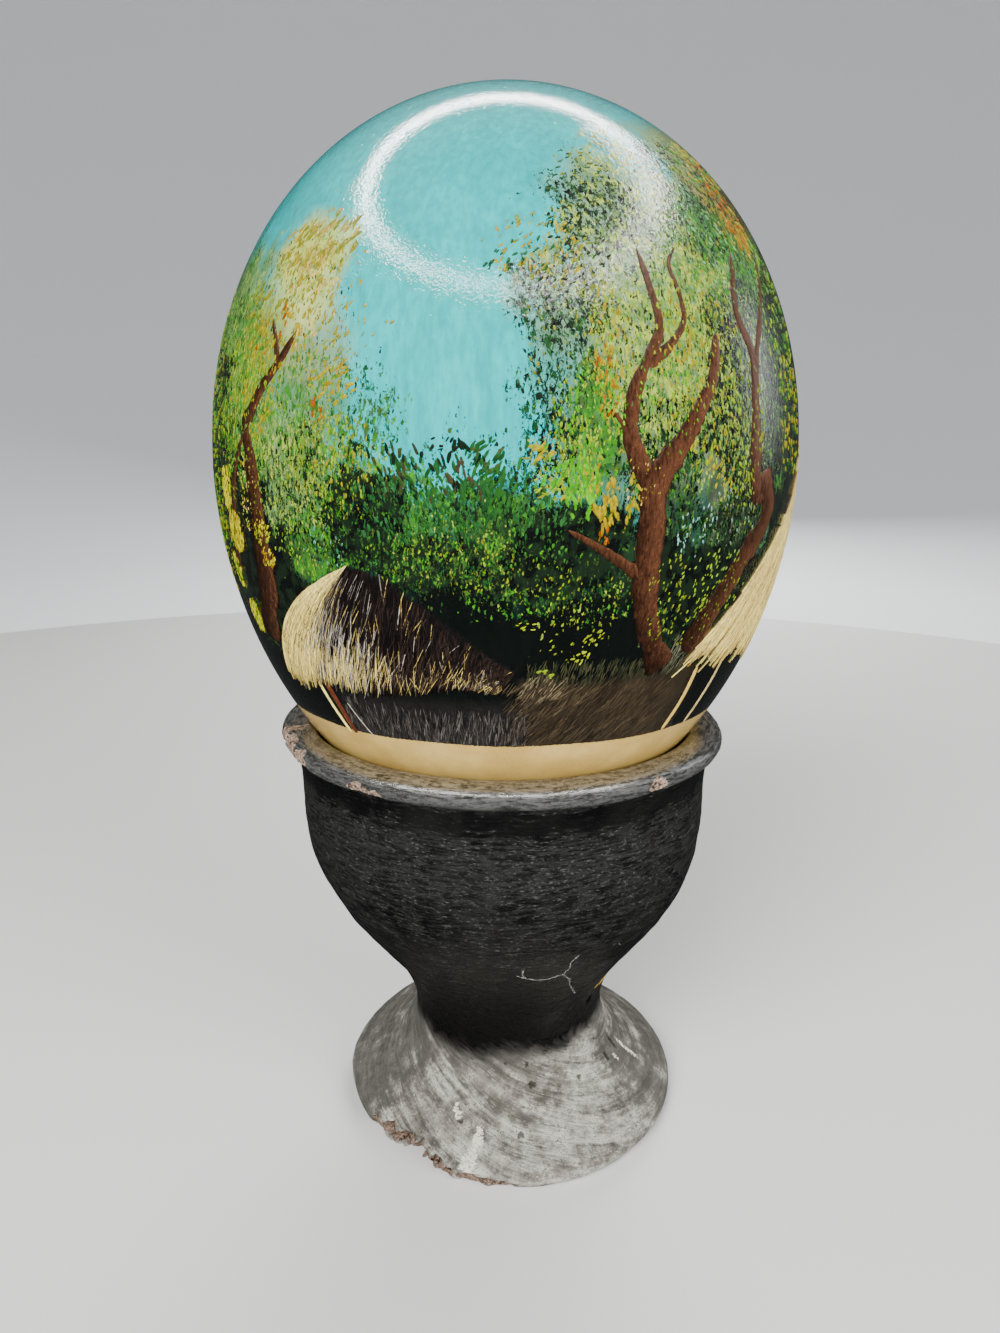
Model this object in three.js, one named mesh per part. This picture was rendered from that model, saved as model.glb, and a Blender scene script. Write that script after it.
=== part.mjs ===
// A blown, painted ostrich egg resting blunt end up in a black-fired clay goblet.
// Millimetres, +Z up. The origin is on the floor, straight below the middle of the egg.
import * as THREE from 'three';

// The egg: a large ostrich shell, a little fuller above its middle than below it.
const eggLength = 159;
const eggHalfWidth = 63.5;
const eggFullness = 0.063;
const shellWall = 2;
const membraneWall = 0.6;
const blowHoleRadius = 6;

// The rim: a flange with rounded edges, whose inner lip carries the egg.
const rimHeight = 103;
const rimRadius = 52.7;
const rimEdgeRadius = 2.4;
const mouthRadius = 44.8;

// The bowl below it: upright at the shoulder, then a cone drawn in to the neck.
const bowlRadius = 48.9;
const bowlWall = 7;
const shoulderHeight = 80;
const coneRadius = 33.5;
const coneHeight = 45.5;
const wellFloorHeight = 38;

// The foot, luted to the bowl at the neck: a flare with a thin edge, hollow underneath.
const neckRadius = 24.6;
const neckHeight = 26;
const footRadius = 42.7;
const footEdgeRadius = 2.8;
const footRingWidth = 7;
const footHollowHeight = 15;

// How far the hand-set foot stands off the bowl's axis at floor level, along +X.
const footShift = 3.3;

// Pieces that touch keep this gap.
const restGap = 0.3;

const turnSegments = 48;
const eggRings = 20;
const curveSteps = 5;

// A point of the egg's outline, at an angle from its lower pole and moved inwards.
function eggOutline(angle, inset) {
  const fullness = 1 - eggFullness * Math.cos(angle);
  const spread = eggHalfWidth * (Math.cos(angle) * fullness + eggFullness * Math.sin(angle) ** 2);
  const climb = (eggLength / 2) * Math.sin(angle);
  const length = Math.hypot(spread, climb);
  return new THREE.Vector2(
    eggHalfWidth * Math.sin(angle) * fullness - (inset * climb) / length,
    (-eggLength / 2) * Math.cos(angle) + (inset * spread) / length,
  );
}

// The angle below the widest ring at which the inset outline reaches a radius.
function eggAngleAt(radius, inset) {
  let low = 0;
  let high = Math.PI / 2;
  while (high - low > 1e-9) {
    const middle = (low + high) / 2;
    if (eggOutline(middle, inset).x < radius) low = middle;
    else high = middle;
  }
  return low;
}

// The height of the egg's centre when it rests on the rounded inner lip of the rim.
function eggCentreHeight() {
  const lipRadius = mouthRadius + rimEdgeRadius;
  const lipHeight = rimHeight - rimEdgeRadius;
  const reach = -(rimEdgeRadius + restGap);
  return lipHeight - eggOutline(eggAngleAt(lipRadius, reach), reach).y;
}

// Turns an outline about Z. It is listed with the material on its left.
function turn(outline) {
  return new THREE.LatheGeometry(outline, turnSegments).rotateX(Math.PI / 2);
}

// A hollow egg between two insets, open at the blow hole in its lower pole.
function hollowEgg(outerInset, innerInset) {
  const holeAngle = eggAngleAt(blowHoleRadius, 0);
  const outline = [];
  for (let ring = 0; ring < eggRings; ring += 1) {
    const angle = holeAngle + ((Math.PI - holeAngle) * ring) / eggRings;
    outline.unshift(eggOutline(angle, innerInset));
    outline.push(eggOutline(angle, outerInset));
  }
  outline.unshift(new THREE.Vector2(0, eggLength / 2 - innerInset));
  outline.push(new THREE.Vector2(0, eggLength / 2 - outerInset));
  return turn(outline);
}

// Moves each level of the goblet sideways, from nothing at the rim to footShift at the floor.
function setOffAxis(geometry) {
  const position = geometry.attributes.position;
  for (let index = 0; index < position.count; index += 1) {
    const shift = footShift * (1 - position.getZ(index) / rimHeight);
    position.setX(index, position.getX(index) + shift);
  }
  return geometry;
}

function bowlGeometry() {
  const floor = neckHeight + restGap / 2;
  const edgeRadius = rimRadius - rimEdgeRadius;
  const edgeHeight = rimHeight - rimEdgeRadius;
  const innerRadius = bowlRadius - bowlWall;
  const outline = new THREE.Path();
  outline.moveTo(0, floor);
  outline.lineTo(neckRadius, floor);
  outline.bezierCurveTo(neckRadius + 1.6, 36, coneRadius - 3, coneHeight - 4, coneRadius, coneHeight);
  outline.bezierCurveTo(coneRadius + 8, 56, bowlRadius - 0.6, 66, bowlRadius, shoulderHeight);
  outline.lineTo(bowlRadius, edgeHeight - 6);
  outline.quadraticCurveTo(bowlRadius, edgeHeight - rimEdgeRadius, edgeRadius, edgeHeight - rimEdgeRadius);
  outline.absarc(edgeRadius, edgeHeight, rimEdgeRadius, -Math.PI / 2, Math.PI / 2, false);
  outline.lineTo(mouthRadius + rimEdgeRadius, rimHeight);
  outline.absarc(mouthRadius + rimEdgeRadius, edgeHeight, rimEdgeRadius, Math.PI / 2, Math.PI, false);
  outline.quadraticCurveTo(innerRadius, 92, innerRadius, shoulderHeight);
  outline.bezierCurveTo(innerRadius - 0.5, 60, 22, wellFloorHeight, 0, wellFloorHeight);
  return setOffAxis(turn(outline.getPoints(curveSteps)));
}

function footGeometry() {
  const top = neckHeight - restGap / 2;
  const edgeCentre = footRadius - footEdgeRadius;
  const ringRadius = edgeCentre - footRingWidth;
  const outline = new THREE.Path();
  outline.moveTo(0, footHollowHeight);
  outline.bezierCurveTo(16, footHollowHeight, ringRadius - 3, 6.5, ringRadius, 0);
  outline.lineTo(edgeCentre, 0);
  outline.absarc(edgeCentre, footEdgeRadius, footEdgeRadius, -Math.PI / 2, Math.PI / 3, false);
  outline.bezierCurveTo(30, 10.5, neckRadius - 0.2, 16, neckRadius, top);
  outline.lineTo(0, top);
  return setOffAxis(turn(outline.getPoints(curveSteps)));
}

const looks = {
  paintedShell: { color: 0x5fae9a, roughness: 0.28, metalness: 0 },
  membrane: { color: 0xe6d9bd, roughness: 0.8, metalness: 0 },
  burnishedClay: { color: 0x262626, roughness: 0.42, metalness: 0 },
  dustyClay: { color: 0x5b5955, roughness: 0.75, metalness: 0 },
};

const part = new THREE.Group();

// Adds one named piece to the part, raised to a height.
function addPiece(name, geometry, look, height = 0) {
  const piece = new THREE.Mesh(geometry, new THREE.MeshStandardMaterial(look));
  piece.name = name;
  piece.position.z = height;
  part.add(piece);
}

const liningInset = shellWall + restGap;
addPiece('pedestal_foot', footGeometry(), looks.dustyClay);
addPiece('cup_bowl', bowlGeometry(), looks.burnishedClay);
addPiece('egg_shell', hollowEgg(0, shellWall), looks.paintedShell, eggCentreHeight());
addPiece('shell_membrane', hollowEgg(liningInset, liningInset + membraneWall), looks.membrane, eggCentreHeight());

export default part;
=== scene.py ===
"""Looks of a painted ostrich egg in a black-fired clay goblet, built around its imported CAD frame."""

import itertools
import math

import bpy
import numpy as np
from mathutils import Matrix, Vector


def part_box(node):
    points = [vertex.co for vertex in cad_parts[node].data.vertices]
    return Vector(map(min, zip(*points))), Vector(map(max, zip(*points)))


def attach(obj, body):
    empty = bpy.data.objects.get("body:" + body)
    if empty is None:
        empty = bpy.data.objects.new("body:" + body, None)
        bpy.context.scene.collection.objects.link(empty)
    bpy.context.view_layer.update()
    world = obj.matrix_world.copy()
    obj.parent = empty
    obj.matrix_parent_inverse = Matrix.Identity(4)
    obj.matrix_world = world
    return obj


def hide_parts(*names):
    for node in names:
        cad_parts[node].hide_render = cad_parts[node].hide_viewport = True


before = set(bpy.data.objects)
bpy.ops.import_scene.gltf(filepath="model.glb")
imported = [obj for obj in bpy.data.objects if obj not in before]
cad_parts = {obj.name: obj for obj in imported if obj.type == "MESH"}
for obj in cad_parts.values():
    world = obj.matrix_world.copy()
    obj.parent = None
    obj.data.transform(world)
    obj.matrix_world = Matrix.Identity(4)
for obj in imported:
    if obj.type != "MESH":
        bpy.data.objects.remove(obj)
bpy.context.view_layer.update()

MM = 0.001
SEED = 7

# ---------------------------------------------------------------------------------------------
# Places and sizes, in metres, from the frame
# ---------------------------------------------------------------------------------------------
shell_low, shell_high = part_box("egg_shell")
membrane_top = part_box("shell_membrane")[1][2]
RIM_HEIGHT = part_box("cup_bowl")[1][2]
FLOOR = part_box("pedestal_foot")[0][2]

EGG_LENGTH = 159 * MM
EGG_HALF_WIDTH = 63.5 * MM
EGG_FULLNESS = 0.063
SHELL_WALL = 2 * MM
MEMBRANE_INSET = shell_high[2] - membrane_top
MEMBRANE_WALL = 0.6 * MM
BLOW_HOLE_RADIUS = 6 * MM
LOWER_POLE = shell_high[2] - EGG_LENGTH
FOOT_SHIFT = 3.3 * MM


# ---------------------------------------------------------------------------------------------
# Noise and mesh helpers
# ---------------------------------------------------------------------------------------------
def noise(points, cell, seed=0):
    """Smooth noise from -1 to 1 at each of an (n, 3) array of points, one cell to a feature."""
    scaled = points / cell
    base = np.floor(scaled).astype(np.int64)
    part = scaled - base
    ease = part * part * (3 - 2 * part)
    total = np.zeros(len(points))
    for corner in itertools.product((0, 1), repeat=3):
        # Each corner of the cell gets a value from a hash of its place and the seed.
        key = base + corner
        mixed = key[:, 0] * 73856093 ^ key[:, 1] * 19349663 ^ key[:, 2] * 83492791 ^ seed * 2654435761
        mixed = (mixed ^ mixed >> 13) * 1274126177 & 0xFFFFFFFF
        mixed = (mixed ^ mixed >> 15) * 2246822519 & 0xFFFFFFFF
        value = (mixed >> 8 & 0xFFFF) / 32767.5 - 1
        weight = np.prod(np.where(corner, ease, 1 - ease), axis=1)
        total += value * weight
    return total


def rough_noise(points, cell, seed=0, octaves=3):
    """Several sizes of noise added, each half the size and strength of the one before."""
    total = np.zeros(len(points))
    for octave in range(octaves):
        total += noise(points, cell / 2**octave, seed + octave) / 2**octave
    return total


def soft_step(value, low, high):
    """0 below low, 1 above high and smooth in between."""
    part = np.clip((value - low) / (high - low), 0, 1)
    return part * part * (3 - 2 * part)


def blend(first, second, amount):
    """Mixes two colours by an amount for each point."""
    return first + (second - first) * np.asarray(amount)[:, None]


def around_axis(turn, radius, height):
    """Points at turns in radians from the front towards +X, at a radius and a height."""
    return np.stack(np.broadcast_arrays(radius * np.sin(turn), -radius * np.cos(turn), height), axis=-1)


def polar(points):
    """Turn in radians from the front, and radius and height in mm, of each point."""
    x, y, z = points.T
    return np.arctan2(x, -y), np.hypot(x, y) / MM, z / MM


def make_mesh(name, vertices, faces, material, smooth=True):
    """A mesh object from arrays of vertices and faces."""
    mesh = bpy.data.meshes.new(name)
    mesh.from_pydata([tuple(v) for v in vertices], [], [tuple(f) for f in faces])
    mesh.materials.append(material)
    mesh.polygons.foreach_set("use_smooth", [smooth] * len(mesh.polygons))
    mesh.update()
    piece = bpy.data.objects.new(name, mesh)
    bpy.context.scene.collection.objects.link(piece)
    return piece


def put_field(piece, name, values):
    """Stores a number or a three-part vector at each vertex, for the materials to read."""
    values = np.asarray(values, dtype=np.float32)
    kind, slot = ("FLOAT_VECTOR", "vector") if values.ndim == 2 else ("FLOAT", "value")
    field = piece.data.attributes.new(name, kind, "POINT")
    field.data.foreach_set(slot, values.ravel())


def revolve_faces(rings, columns):
    """Faces of a surface of revolution: a first pole, rings of vertices, and a last pole."""
    step = np.arange(columns)
    after = (step + 1) % columns
    faces = [(0, 1 + b, 1 + a) for a, b in zip(step, after)]
    for low in range(1, 1 + (rings - 1) * columns, columns):
        high = low + columns
        faces += zip(low + step, low + after, high + after, high + step)
    low, last = 1 + (rings - 1) * columns, 1 + rings * columns
    faces += [(low + a, low + b, last) for a, b in zip(step, after)]
    return faces


def revolve_points(outline, columns):
    """Vertices of an (n, 2) outline of radius and height that starts and ends on the axis.

    Also gives each vertex's turn from the front in radians and its place along the outline.
    """
    turn = np.linspace(0, 2 * math.pi, columns, endpoint=False)
    inner = outline[1:-1]
    rings = around_axis(turn, inner[:, :1], inner[:, 1:]).reshape(-1, 3)
    poles = [np.array([[0.0, 0.0, outline[end, 1]]]) for end in (0, -1)]
    vertices = np.concatenate([poles[0], rings, poles[1]])
    turns = np.concatenate([[0.0], np.tile(turn, len(inner)), [0.0]])
    places = np.concatenate([[0], np.repeat(np.arange(1, len(outline) - 1), columns), [len(outline) - 1]])
    return vertices, turns, places


def bezier(first, pull_first, pull_last, last, steps=24):
    """Points of a cubic Bezier curve."""
    t = np.linspace(0, 1, steps)[:, None]
    weights = (1 - t) ** 3, 3 * t * (1 - t) ** 2, 3 * t * t * (1 - t), t**3
    return sum(weight * point for weight, point in zip(weights, (first, pull_first, pull_last, last)))


def arc(centre, radius, start, end, steps=16):
    """Points of a circular arc between two angles in degrees."""
    angle = np.radians(np.linspace(start, end, steps))
    return np.stack([centre[0] + radius * np.cos(angle), centre[1] + radius * np.sin(angle)], axis=1)


def even_outline(curves, spacing):
    """One outline from several curves, with points an even distance apart and every corner kept."""
    joined = [np.array([curves[0][0]], dtype=float)]
    for curve in curves:
        points = np.array(curve, dtype=float)
        length = np.concatenate([[0], np.cumsum(np.linalg.norm(np.diff(points, axis=0), axis=1))])
        at = np.linspace(0, length[-1], max(int(round(length[-1] / spacing)), 1) + 1)[1:]
        joined.append(np.stack([np.interp(at, length, points[:, axis]) for axis in (0, 1)], axis=1))
    return np.concatenate(joined)


# ---------------------------------------------------------------------------------------------
# The egg's surface. The painting is laid out on it by turn, in degrees from the front towards
# +X, and by level, in millimetres above the lower pole.
# ---------------------------------------------------------------------------------------------
def egg_spread(angle):
    """Radius of the outline at an angle from the lower pole, and how fast it and the height grow."""
    fullness = 1 - EGG_FULLNESS * np.cos(angle)
    spread = EGG_HALF_WIDTH * (np.cos(angle) * fullness + EGG_FULLNESS * np.sin(angle) ** 2)
    return EGG_HALF_WIDTH * np.sin(angle) * fullness, spread, EGG_LENGTH / 2 * np.sin(angle)


def egg_outline(angle, inset=0.0):
    """Radius and height above the lower pole at an angle from that pole, moved inwards."""
    radius, spread, climb = egg_spread(angle)
    length = np.hypot(spread, climb)
    return (radius - inset * climb / length,
            EGG_LENGTH / 2 * (1 - np.cos(angle)) + inset * spread / length)


def angle_at_level(level):
    """The outline's angle at a level in millimetres."""
    return np.arccos(np.clip(1 - 2 * np.asarray(level) * MM / EGG_LENGTH, -1, 1))


def on_shell(turn, angle, lift=0.0):
    """Points of the shell at turns in degrees and outline angles, lifted off it."""
    radius, height = egg_outline(angle, -lift)
    return around_axis(np.radians(turn), radius, LOWER_POLE + height)


def degrees_apart(first, second):
    """The signed turn from second to first, the short way round."""
    return (first - second + 180) % 360 - 180


def shell_scale(angle):
    """Metres of surface for each degree of turn and for each radian of outline angle."""
    radius, spread, climb = egg_spread(angle)
    return np.maximum(np.radians(radius), 1e-6), np.hypot(spread, climb)


def mm_per_degree(level):
    """Millimetres of shell for each degree of turn at a level."""
    return shell_scale(angle_at_level(level))[0] / MM


def oval_distance(turn, level, centre, height, half_width, half_height):
    """How far places on the shell are from the middle of an oval patch, 1 at its edge."""
    across = degrees_apart(turn, centre) * mm_per_degree(height) / half_width
    return np.hypot(across, (level - height) / half_height)


# ---------------------------------------------------------------------------------------------
# Materials
# ---------------------------------------------------------------------------------------------
class Signal:
    """A node's output, which can be added, subtracted and multiplied like a number."""

    def __init__(self, look, socket):
        self.look = look
        self.socket = socket

    def __add__(self, other):
        return self.look.math("ADD", self, other)

    def __sub__(self, other):
        return self.look.math("SUBTRACT", self, other)

    def __rsub__(self, other):
        return self.look.math("SUBTRACT", other, self)

    def __mul__(self, other):
        return self.look.math("MULTIPLY", self, other)

    def step(self, low, high, out_low=0.0, out_high=1.0):
        """Maps a range smoothly onto another."""
        made = self.look.node("ShaderNodeMapRange", self, low, high, out_low, out_high,
                              interpolation_type="SMOOTHSTEP")
        return Signal(self.look, made.outputs[0])


class Look:
    """A procedural material, with short calls for the nodes that it is made of."""

    def __init__(self, name, **settings):
        self.material = bpy.data.materials.new(name)
        self.material.use_nodes = True
        self.tree = self.material.node_tree
        self.shader = self.tree.nodes["Principled BSDF"]
        self.place = self.node("ShaderNodeTexCoord").outputs["Object"]
        for socket, value in settings.items():
            self.set(socket.replace("_", " "), value)

    def set(self, socket, value):
        """Gives one of the shader's inputs a value or a signal."""
        self.feed(self.shader.inputs[socket], value)

    def feed(self, socket, value):
        """Gives a socket a value, or links it to a signal or to another node's output."""
        if isinstance(value, Signal):
            value = value.socket
        if isinstance(value, bpy.types.NodeSocket):
            self.tree.links.new(value, socket)
        else:
            socket.default_value = value

    def node(self, kind, *inputs, named=None, **settings):
        """Adds a node, sets it, and feeds its first inputs and some named ones."""
        made = self.tree.nodes.new(kind)
        for name, value in settings.items():
            setattr(made, name, value)
        for socket, value in zip(made.inputs, inputs):
            self.feed(socket, value)
        for name, value in (named or {}).items():
            self.feed(made.inputs[name], value)
        return made

    def field(self, name, vector=False):
        """A number or vector stored at the vertices."""
        made = self.node("ShaderNodeAttribute", attribute_name=name)
        return Signal(self, made.outputs["Vector" if vector else "Fac"])

    def math(self, operation, *inputs):
        """One number worked out from others."""
        return Signal(self, self.node("ShaderNodeMath", *inputs, operation=operation).outputs[0])

    def vector(self, operation, *inputs, **named):
        """A vector or colour worked out from others, or the length of one."""
        made = self.node("ShaderNodeVectorMath", *inputs, operation=operation, named=named)
        return Signal(self, made.outputs["Value" if operation == "LENGTH" else "Vector"])

    def mix(self, amount, first, second):
        """Mixes two colours."""
        made = self.node("ShaderNodeMix", amount, data_type="RGBA", clamp_factor=True)
        for socket, colour in ((made.inputs[6], first), (made.inputs[7], second)):
            self.feed(socket, (*colour, 1) if isinstance(colour, tuple) else colour)
        return Signal(self, made.outputs[2])

    def layered(self, colour, *coats):
        """A colour with coats over it, each of them how much it covers and its own colour."""
        for cover, coat in coats:
            colour = self.mix(cover, colour, coat)
        return colour

    def scaled(self, scale, offset=(0, 0, 0), tilt=(0, 0, 0)):
        """The place on the object, scaled along each axis, so that noise can be stretched."""
        return Signal(self, self.node("ShaderNodeMapping", self.place, offset, tilt, scale).outputs[0])

    def noise(self, size, detail=3.0, roughness=0.55, place=None, distortion=0.0, output="Fac"):
        """Cloudy noise from 0 to 1 with features of a size in metres."""
        named = {"Vector": place or self.place, "Scale": 1 / size, "Detail": detail,
                 "Roughness": roughness, "Distortion": distortion}
        return Signal(self, self.node("ShaderNodeTexNoise", named=named).outputs[output])

    def cells(self, size, place=None):
        """Voronoi cells of a size in metres: the distance from the middle, and a random colour."""
        made = self.node("ShaderNodeTexVoronoi", named={"Vector": place or self.place, "Scale": 1 / size})
        return Signal(self, made.outputs["Distance"]), made.outputs["Color"]

    def flecks(self, size, density, place, seed, ragged):
        """Separate flecks of paint, more of them and larger where the density is higher."""
        shifted = self.vector("ADD", place, (seed * 0.31, seed * 0.17, seed * 0.23))
        distance, colour = self.cells(size, shifted)
        chance = self.node("ShaderNodeSeparateColor", colour).outputs[0]
        reach = density * 0.36 + 0.27 + ragged
        return (density - chance).step(0.0, 0.05) * (reach - distance).step(0.0, 0.09)

    def stipple(self, size, density, place, seed):
        """Sponged paint: broken, irregular patches that cover more where the density is higher."""
        shifted = self.vector("ADD", place, (seed * 0.13, seed * 0.29, seed * 0.19))
        over = self.noise(size, 4.0, 0.72, shifted, 0.4) + density * 0.45
        return over.step(0.73, 0.79) * density.step(0.02, 0.14)

    def bump(self, height, distance, coat=False):
        """A fine relief of the surface, and of its clear coat as well."""
        made = self.node("ShaderNodeBump", named={"Height": height, "Distance": distance})
        self.set("Normal", made.outputs[0])
        if coat:
            self.set("Coat Normal", made.outputs[0])


# Paints, as linear base colours.
SKY = (0.001, 0.365, 0.365)
SKY_HIGH = (0.001, 0.345, 0.35)
NIGHT = (0.0022, 0.0036, 0.0028)
NIGHT_GREEN = (0.006, 0.014, 0.006)
DEEP_GREEN = (0.010, 0.060, 0.012)
MOSS = (0.035, 0.080, 0.014)
SAGE = (0.10, 0.19, 0.045)
LEAF_GREEN = (0.030, 0.16, 0.012)
BRIGHT_GREEN = (0.050, 0.25, 0.003)
LIME = (0.18, 0.28, 0.002)
PALE_LIME = (0.30, 0.39, 0.045)
OLIVE = (0.16, 0.18, 0.010)
OCHRE = (0.25, 0.195, 0.004)
YELLOW = (0.27, 0.21, 0.0001)
BRIGHT_YELLOW = (0.42, 0.38, 0.0001)
GOLD = (0.27, 0.165, 0.0001)
ORANGE = (0.25, 0.065, 0.0002)
BARK = (0.050, 0.018, 0.0075)
BARK_LIGHT = (0.112, 0.041, 0.018)
STRAW = (0.55, 0.40, 0.10)
CREAM = (0.94, 0.77, 0.22)
THATCH_DARK = (0.008, 0.006, 0.006)
WALL_GREY = (0.0085, 0.0080, 0.0072)
EARTH = (0.027, 0.019, 0.0095)
BARE_SHELL = (0.49, 0.315, 0.080)
PALE_SHELL = (0.60, 0.41, 0.12)
PORE_BROWN = (0.38, 0.235, 0.062)
BARK_BRIGHT = (0.25, 0.12, 0.065)
DRY_GRASS = (0.048, 0.044, 0.038)
STRAY_EARTH = (0.07, 0.055, 0.030)

VARNISH = {"Roughness": 0.6, "IOR": 1.2, "Coat_Weight": 1.0, "Coat_Roughness": 0.04, "Coat_IOR": 1.45}
THIN_VARNISH = {**VARNISH, "Coat_Weight": 0.35}


def varnished_paint():
    """The painting: an undercoat, flecks of leaf colour over it, and a pitted gloss varnish."""
    look = Look("varnished_paint", **VARNISH)
    ragged = look.noise(0.45 * MM, 2.0, 0.6) * 1.1 - 0.55
    wobble = look.vector("SUBTRACT", look.noise(0.9 * MM, 2.0, 0.5, output="Color"), (0.5, 0.5, 0.5))
    wobble = look.vector("SCALE", wobble, Scale=0.8 * MM)
    slanted = [look.vector("ADD", look.scaled((1, 1, 0.42), tilt=(0.1 * side, 0.3 * side, 0)), wobble)
               for side in (1, -1)]

    brushed = look.noise(1.1 * MM, 3.0, 0.6, look.scaled((1, 1, 0.22)))
    sweep = look.noise(5 * MM, 3.0, 0.6, look.scaled((1, 1, 0.16), tilt=(0, -1.05, 0)))
    tone = brushed.step(0.25, 0.75, 0.84, 1.16) * sweep.step(0.3, 0.7, 0.92, 1.08)
    colour = look.vector("SCALE", look.field("undercoat", vector=True), Scale=tone)

    # Upright strokes of dry grey grass along the foot of the hut wall.
    blades = look.noise(0.34 * MM, 3.0, 0.7, look.scaled((1, 1, 0.13))).step(0.50, 0.62)
    colour = look.mix(blades * look.field("grass"), colour, DRY_GRASS)

    layers = (
        ("stipple", "dark", 1.0 * MM, NIGHT_GREEN, DEEP_GREEN, 0),
        ("stipple", "green", 0.9 * MM, MOSS, LEAF_GREEN, 1),
        ("stipple", "sage", 0.8 * MM, SAGE, PALE_LIME, 0),
        ("flecks", "dark", 0.60 * MM, NIGHT_GREEN, MOSS, 0),
        ("stipple", "lime", 0.65 * MM, OLIVE, LIME, 1),
        ("flecks", "green", 0.55 * MM, DEEP_GREEN, BRIGHT_GREEN, 1),
        ("flecks", "lime", 0.50 * MM, LIME, PALE_LIME, 0),
        ("flecks", "gold", 0.75 * MM, OCHRE, YELLOW, 1),
        ("stipple", "dark", 0.6 * MM, NIGHT, NIGHT_GREEN, 1),
    )
    for seed, (kind, name, size, first, second, side) in enumerate(layers, 1):
        drift = look.noise(2.2 * MM, 1.0, place=look.scaled((1, 1, 1), (seed, 0, 0)))
        paint = look.mix(drift.step(0.38, 0.62), first, second)
        if kind == "stipple":
            cover = look.stipple(size, look.field(name), slanted[side], seed)
        else:
            cover = look.flecks(size, look.field(name), slanted[side], seed, ragged)
        colour = look.mix(cover, colour, paint)

    # The bare shell shows below the uneven lower edge of the paint.
    pores = look.cells(1.0 * MM)[0]
    shell = look.layered(PORE_BROWN, (pores.step(0.05, 0.25), BARE_SHELL),
                         (look.noise(9 * MM, 4.0).step(0.35, 0.7), PALE_SHELL))
    edge = look.field("above_paint_edge") + ragged * 0.6
    look.set("Base Color", look.mix(edge.step(-0.06, 0.06), shell, colour))

    # Varnish: an orange-peel surface with small pits, over the relief of the dabbed paint.
    pits = look.cells(2.4 * MM, look.scaled((1, 1, 1), (0.2, 0.1, 0)))[0]
    peel = look.noise(0.62 * MM, 2.0, 0.6)
    dabs = look.noise(0.8 * MM, 3.0, 0.65, slanted[0])
    look.bump(pits.step(0.0, 0.12) + peel * 1.2 + dabs * look.field("relief") * 5.0, 0.035 * MM, coat=True)
    return look.material


def raised_paint(name, along, tone=0.25):
    """Thick paint whose colour is stored at the vertices, with brush lines and varnish."""
    look = Look(name, **THIN_VARNISH)
    grain = look.noise(0.5 * MM, 3.0, 0.65, look.scaled((1, 1, 1 / along)))
    shade = grain.step(0.3, 0.7, 1 - tone, 1 + tone)
    look.set("Base Color", look.vector("SCALE", look.field("pigment", vector=True), Scale=shade))
    return look.material


def bark_paint(name, light_side):
    """Brown paint, darker along one edge and dry-brushed with light along the other."""
    look = Look(name, **THIN_VARNISH)
    across = look.field("across") * light_side
    pigment = look.field("pigment", vector=True)
    streaks = look.noise(0.5 * MM, 4.0, 0.75, look.scaled((1, 1, 0.3)))
    grain = look.noise(0.35 * MM, 3.0, 0.7)
    lean = streaks * 3.2 + across * 0.5
    bright = grain.step(0.60, 0.68) * lean.step(1.4, 2.0)
    look.set("Base Color", look.layered(
        look.vector("SCALE", pigment, Scale=0.25), (lean.step(0.9, 1.9), pigment),
        (lean.step(1.7, 2.4) * 0.7, BARK_LIGHT), (bright * 0.55, BARK_BRIGHT)))
    look.bump(streaks + grain, 0.06 * MM, coat=True)
    return look.material


# ---------------------------------------------------------------------------------------------
# The painting's layout
# ---------------------------------------------------------------------------------------------
PAINT_EDGE = 34.8

# Soft areas under the flecks, each laid over the ones before it: turn, level, half width and
# half height in mm, colour and strength.
LEFT_PATCHES = [
    (-58, 98, 24, 28, (0.085, 0.16, 0.04), 0.95), (-60, 114, 12, 11, (0.11, 0.25, 0.07), 0.7),
    (-34, 97, 11, 11, (0.075, 0.16, 0.04), 0.8), (-31, 105, 9, 7, (0.20, 0.25, 0.13), 0.65),
    (-43, 107, 9, 8, (0.20, 0.24, 0.06), 0.7), (-36.5, 119, 9.5, 8.5, (0.42, 0.46, 0.09), 1.0),
    (-33.5, 112, 6.5, 6, (0.42, 0.48, 0.14), 0.85), (-37, 87, 11, 9, (0.14, 0.24, 0.085), 0.95),
    (-36, 77, 12, 10, (0.085, 0.175, 0.055), 0.95), (-25, 80, 10, 9, (0.055, 0.15, 0.045), 0.85),
    (-63, 76, 16, 20, (0.020, 0.030, 0.016), 0.95), (-46, 62, 13, 11, (0.014, 0.034, 0.016), 1.0),
    (-31, 71, 12, 7, (0.040, 0.130, 0.045), 0.9), (-39, 69, 9, 7, (0.016, 0.050, 0.016), 0.95),
]
BUSH_PATCHES = [
    (-19, 75.5, 11, 6.5, (0.022, 0.150, 0.048), 0.95), (-7, 76, 16, 6.5, (0.018, 0.110, 0.030), 0.95),
    (6, 74, 16, 9, (0.012, 0.042, 0.010), 1.0), (-6, 68, 34, 8, (0.010, 0.026, 0.008), 1.0),
]
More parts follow.
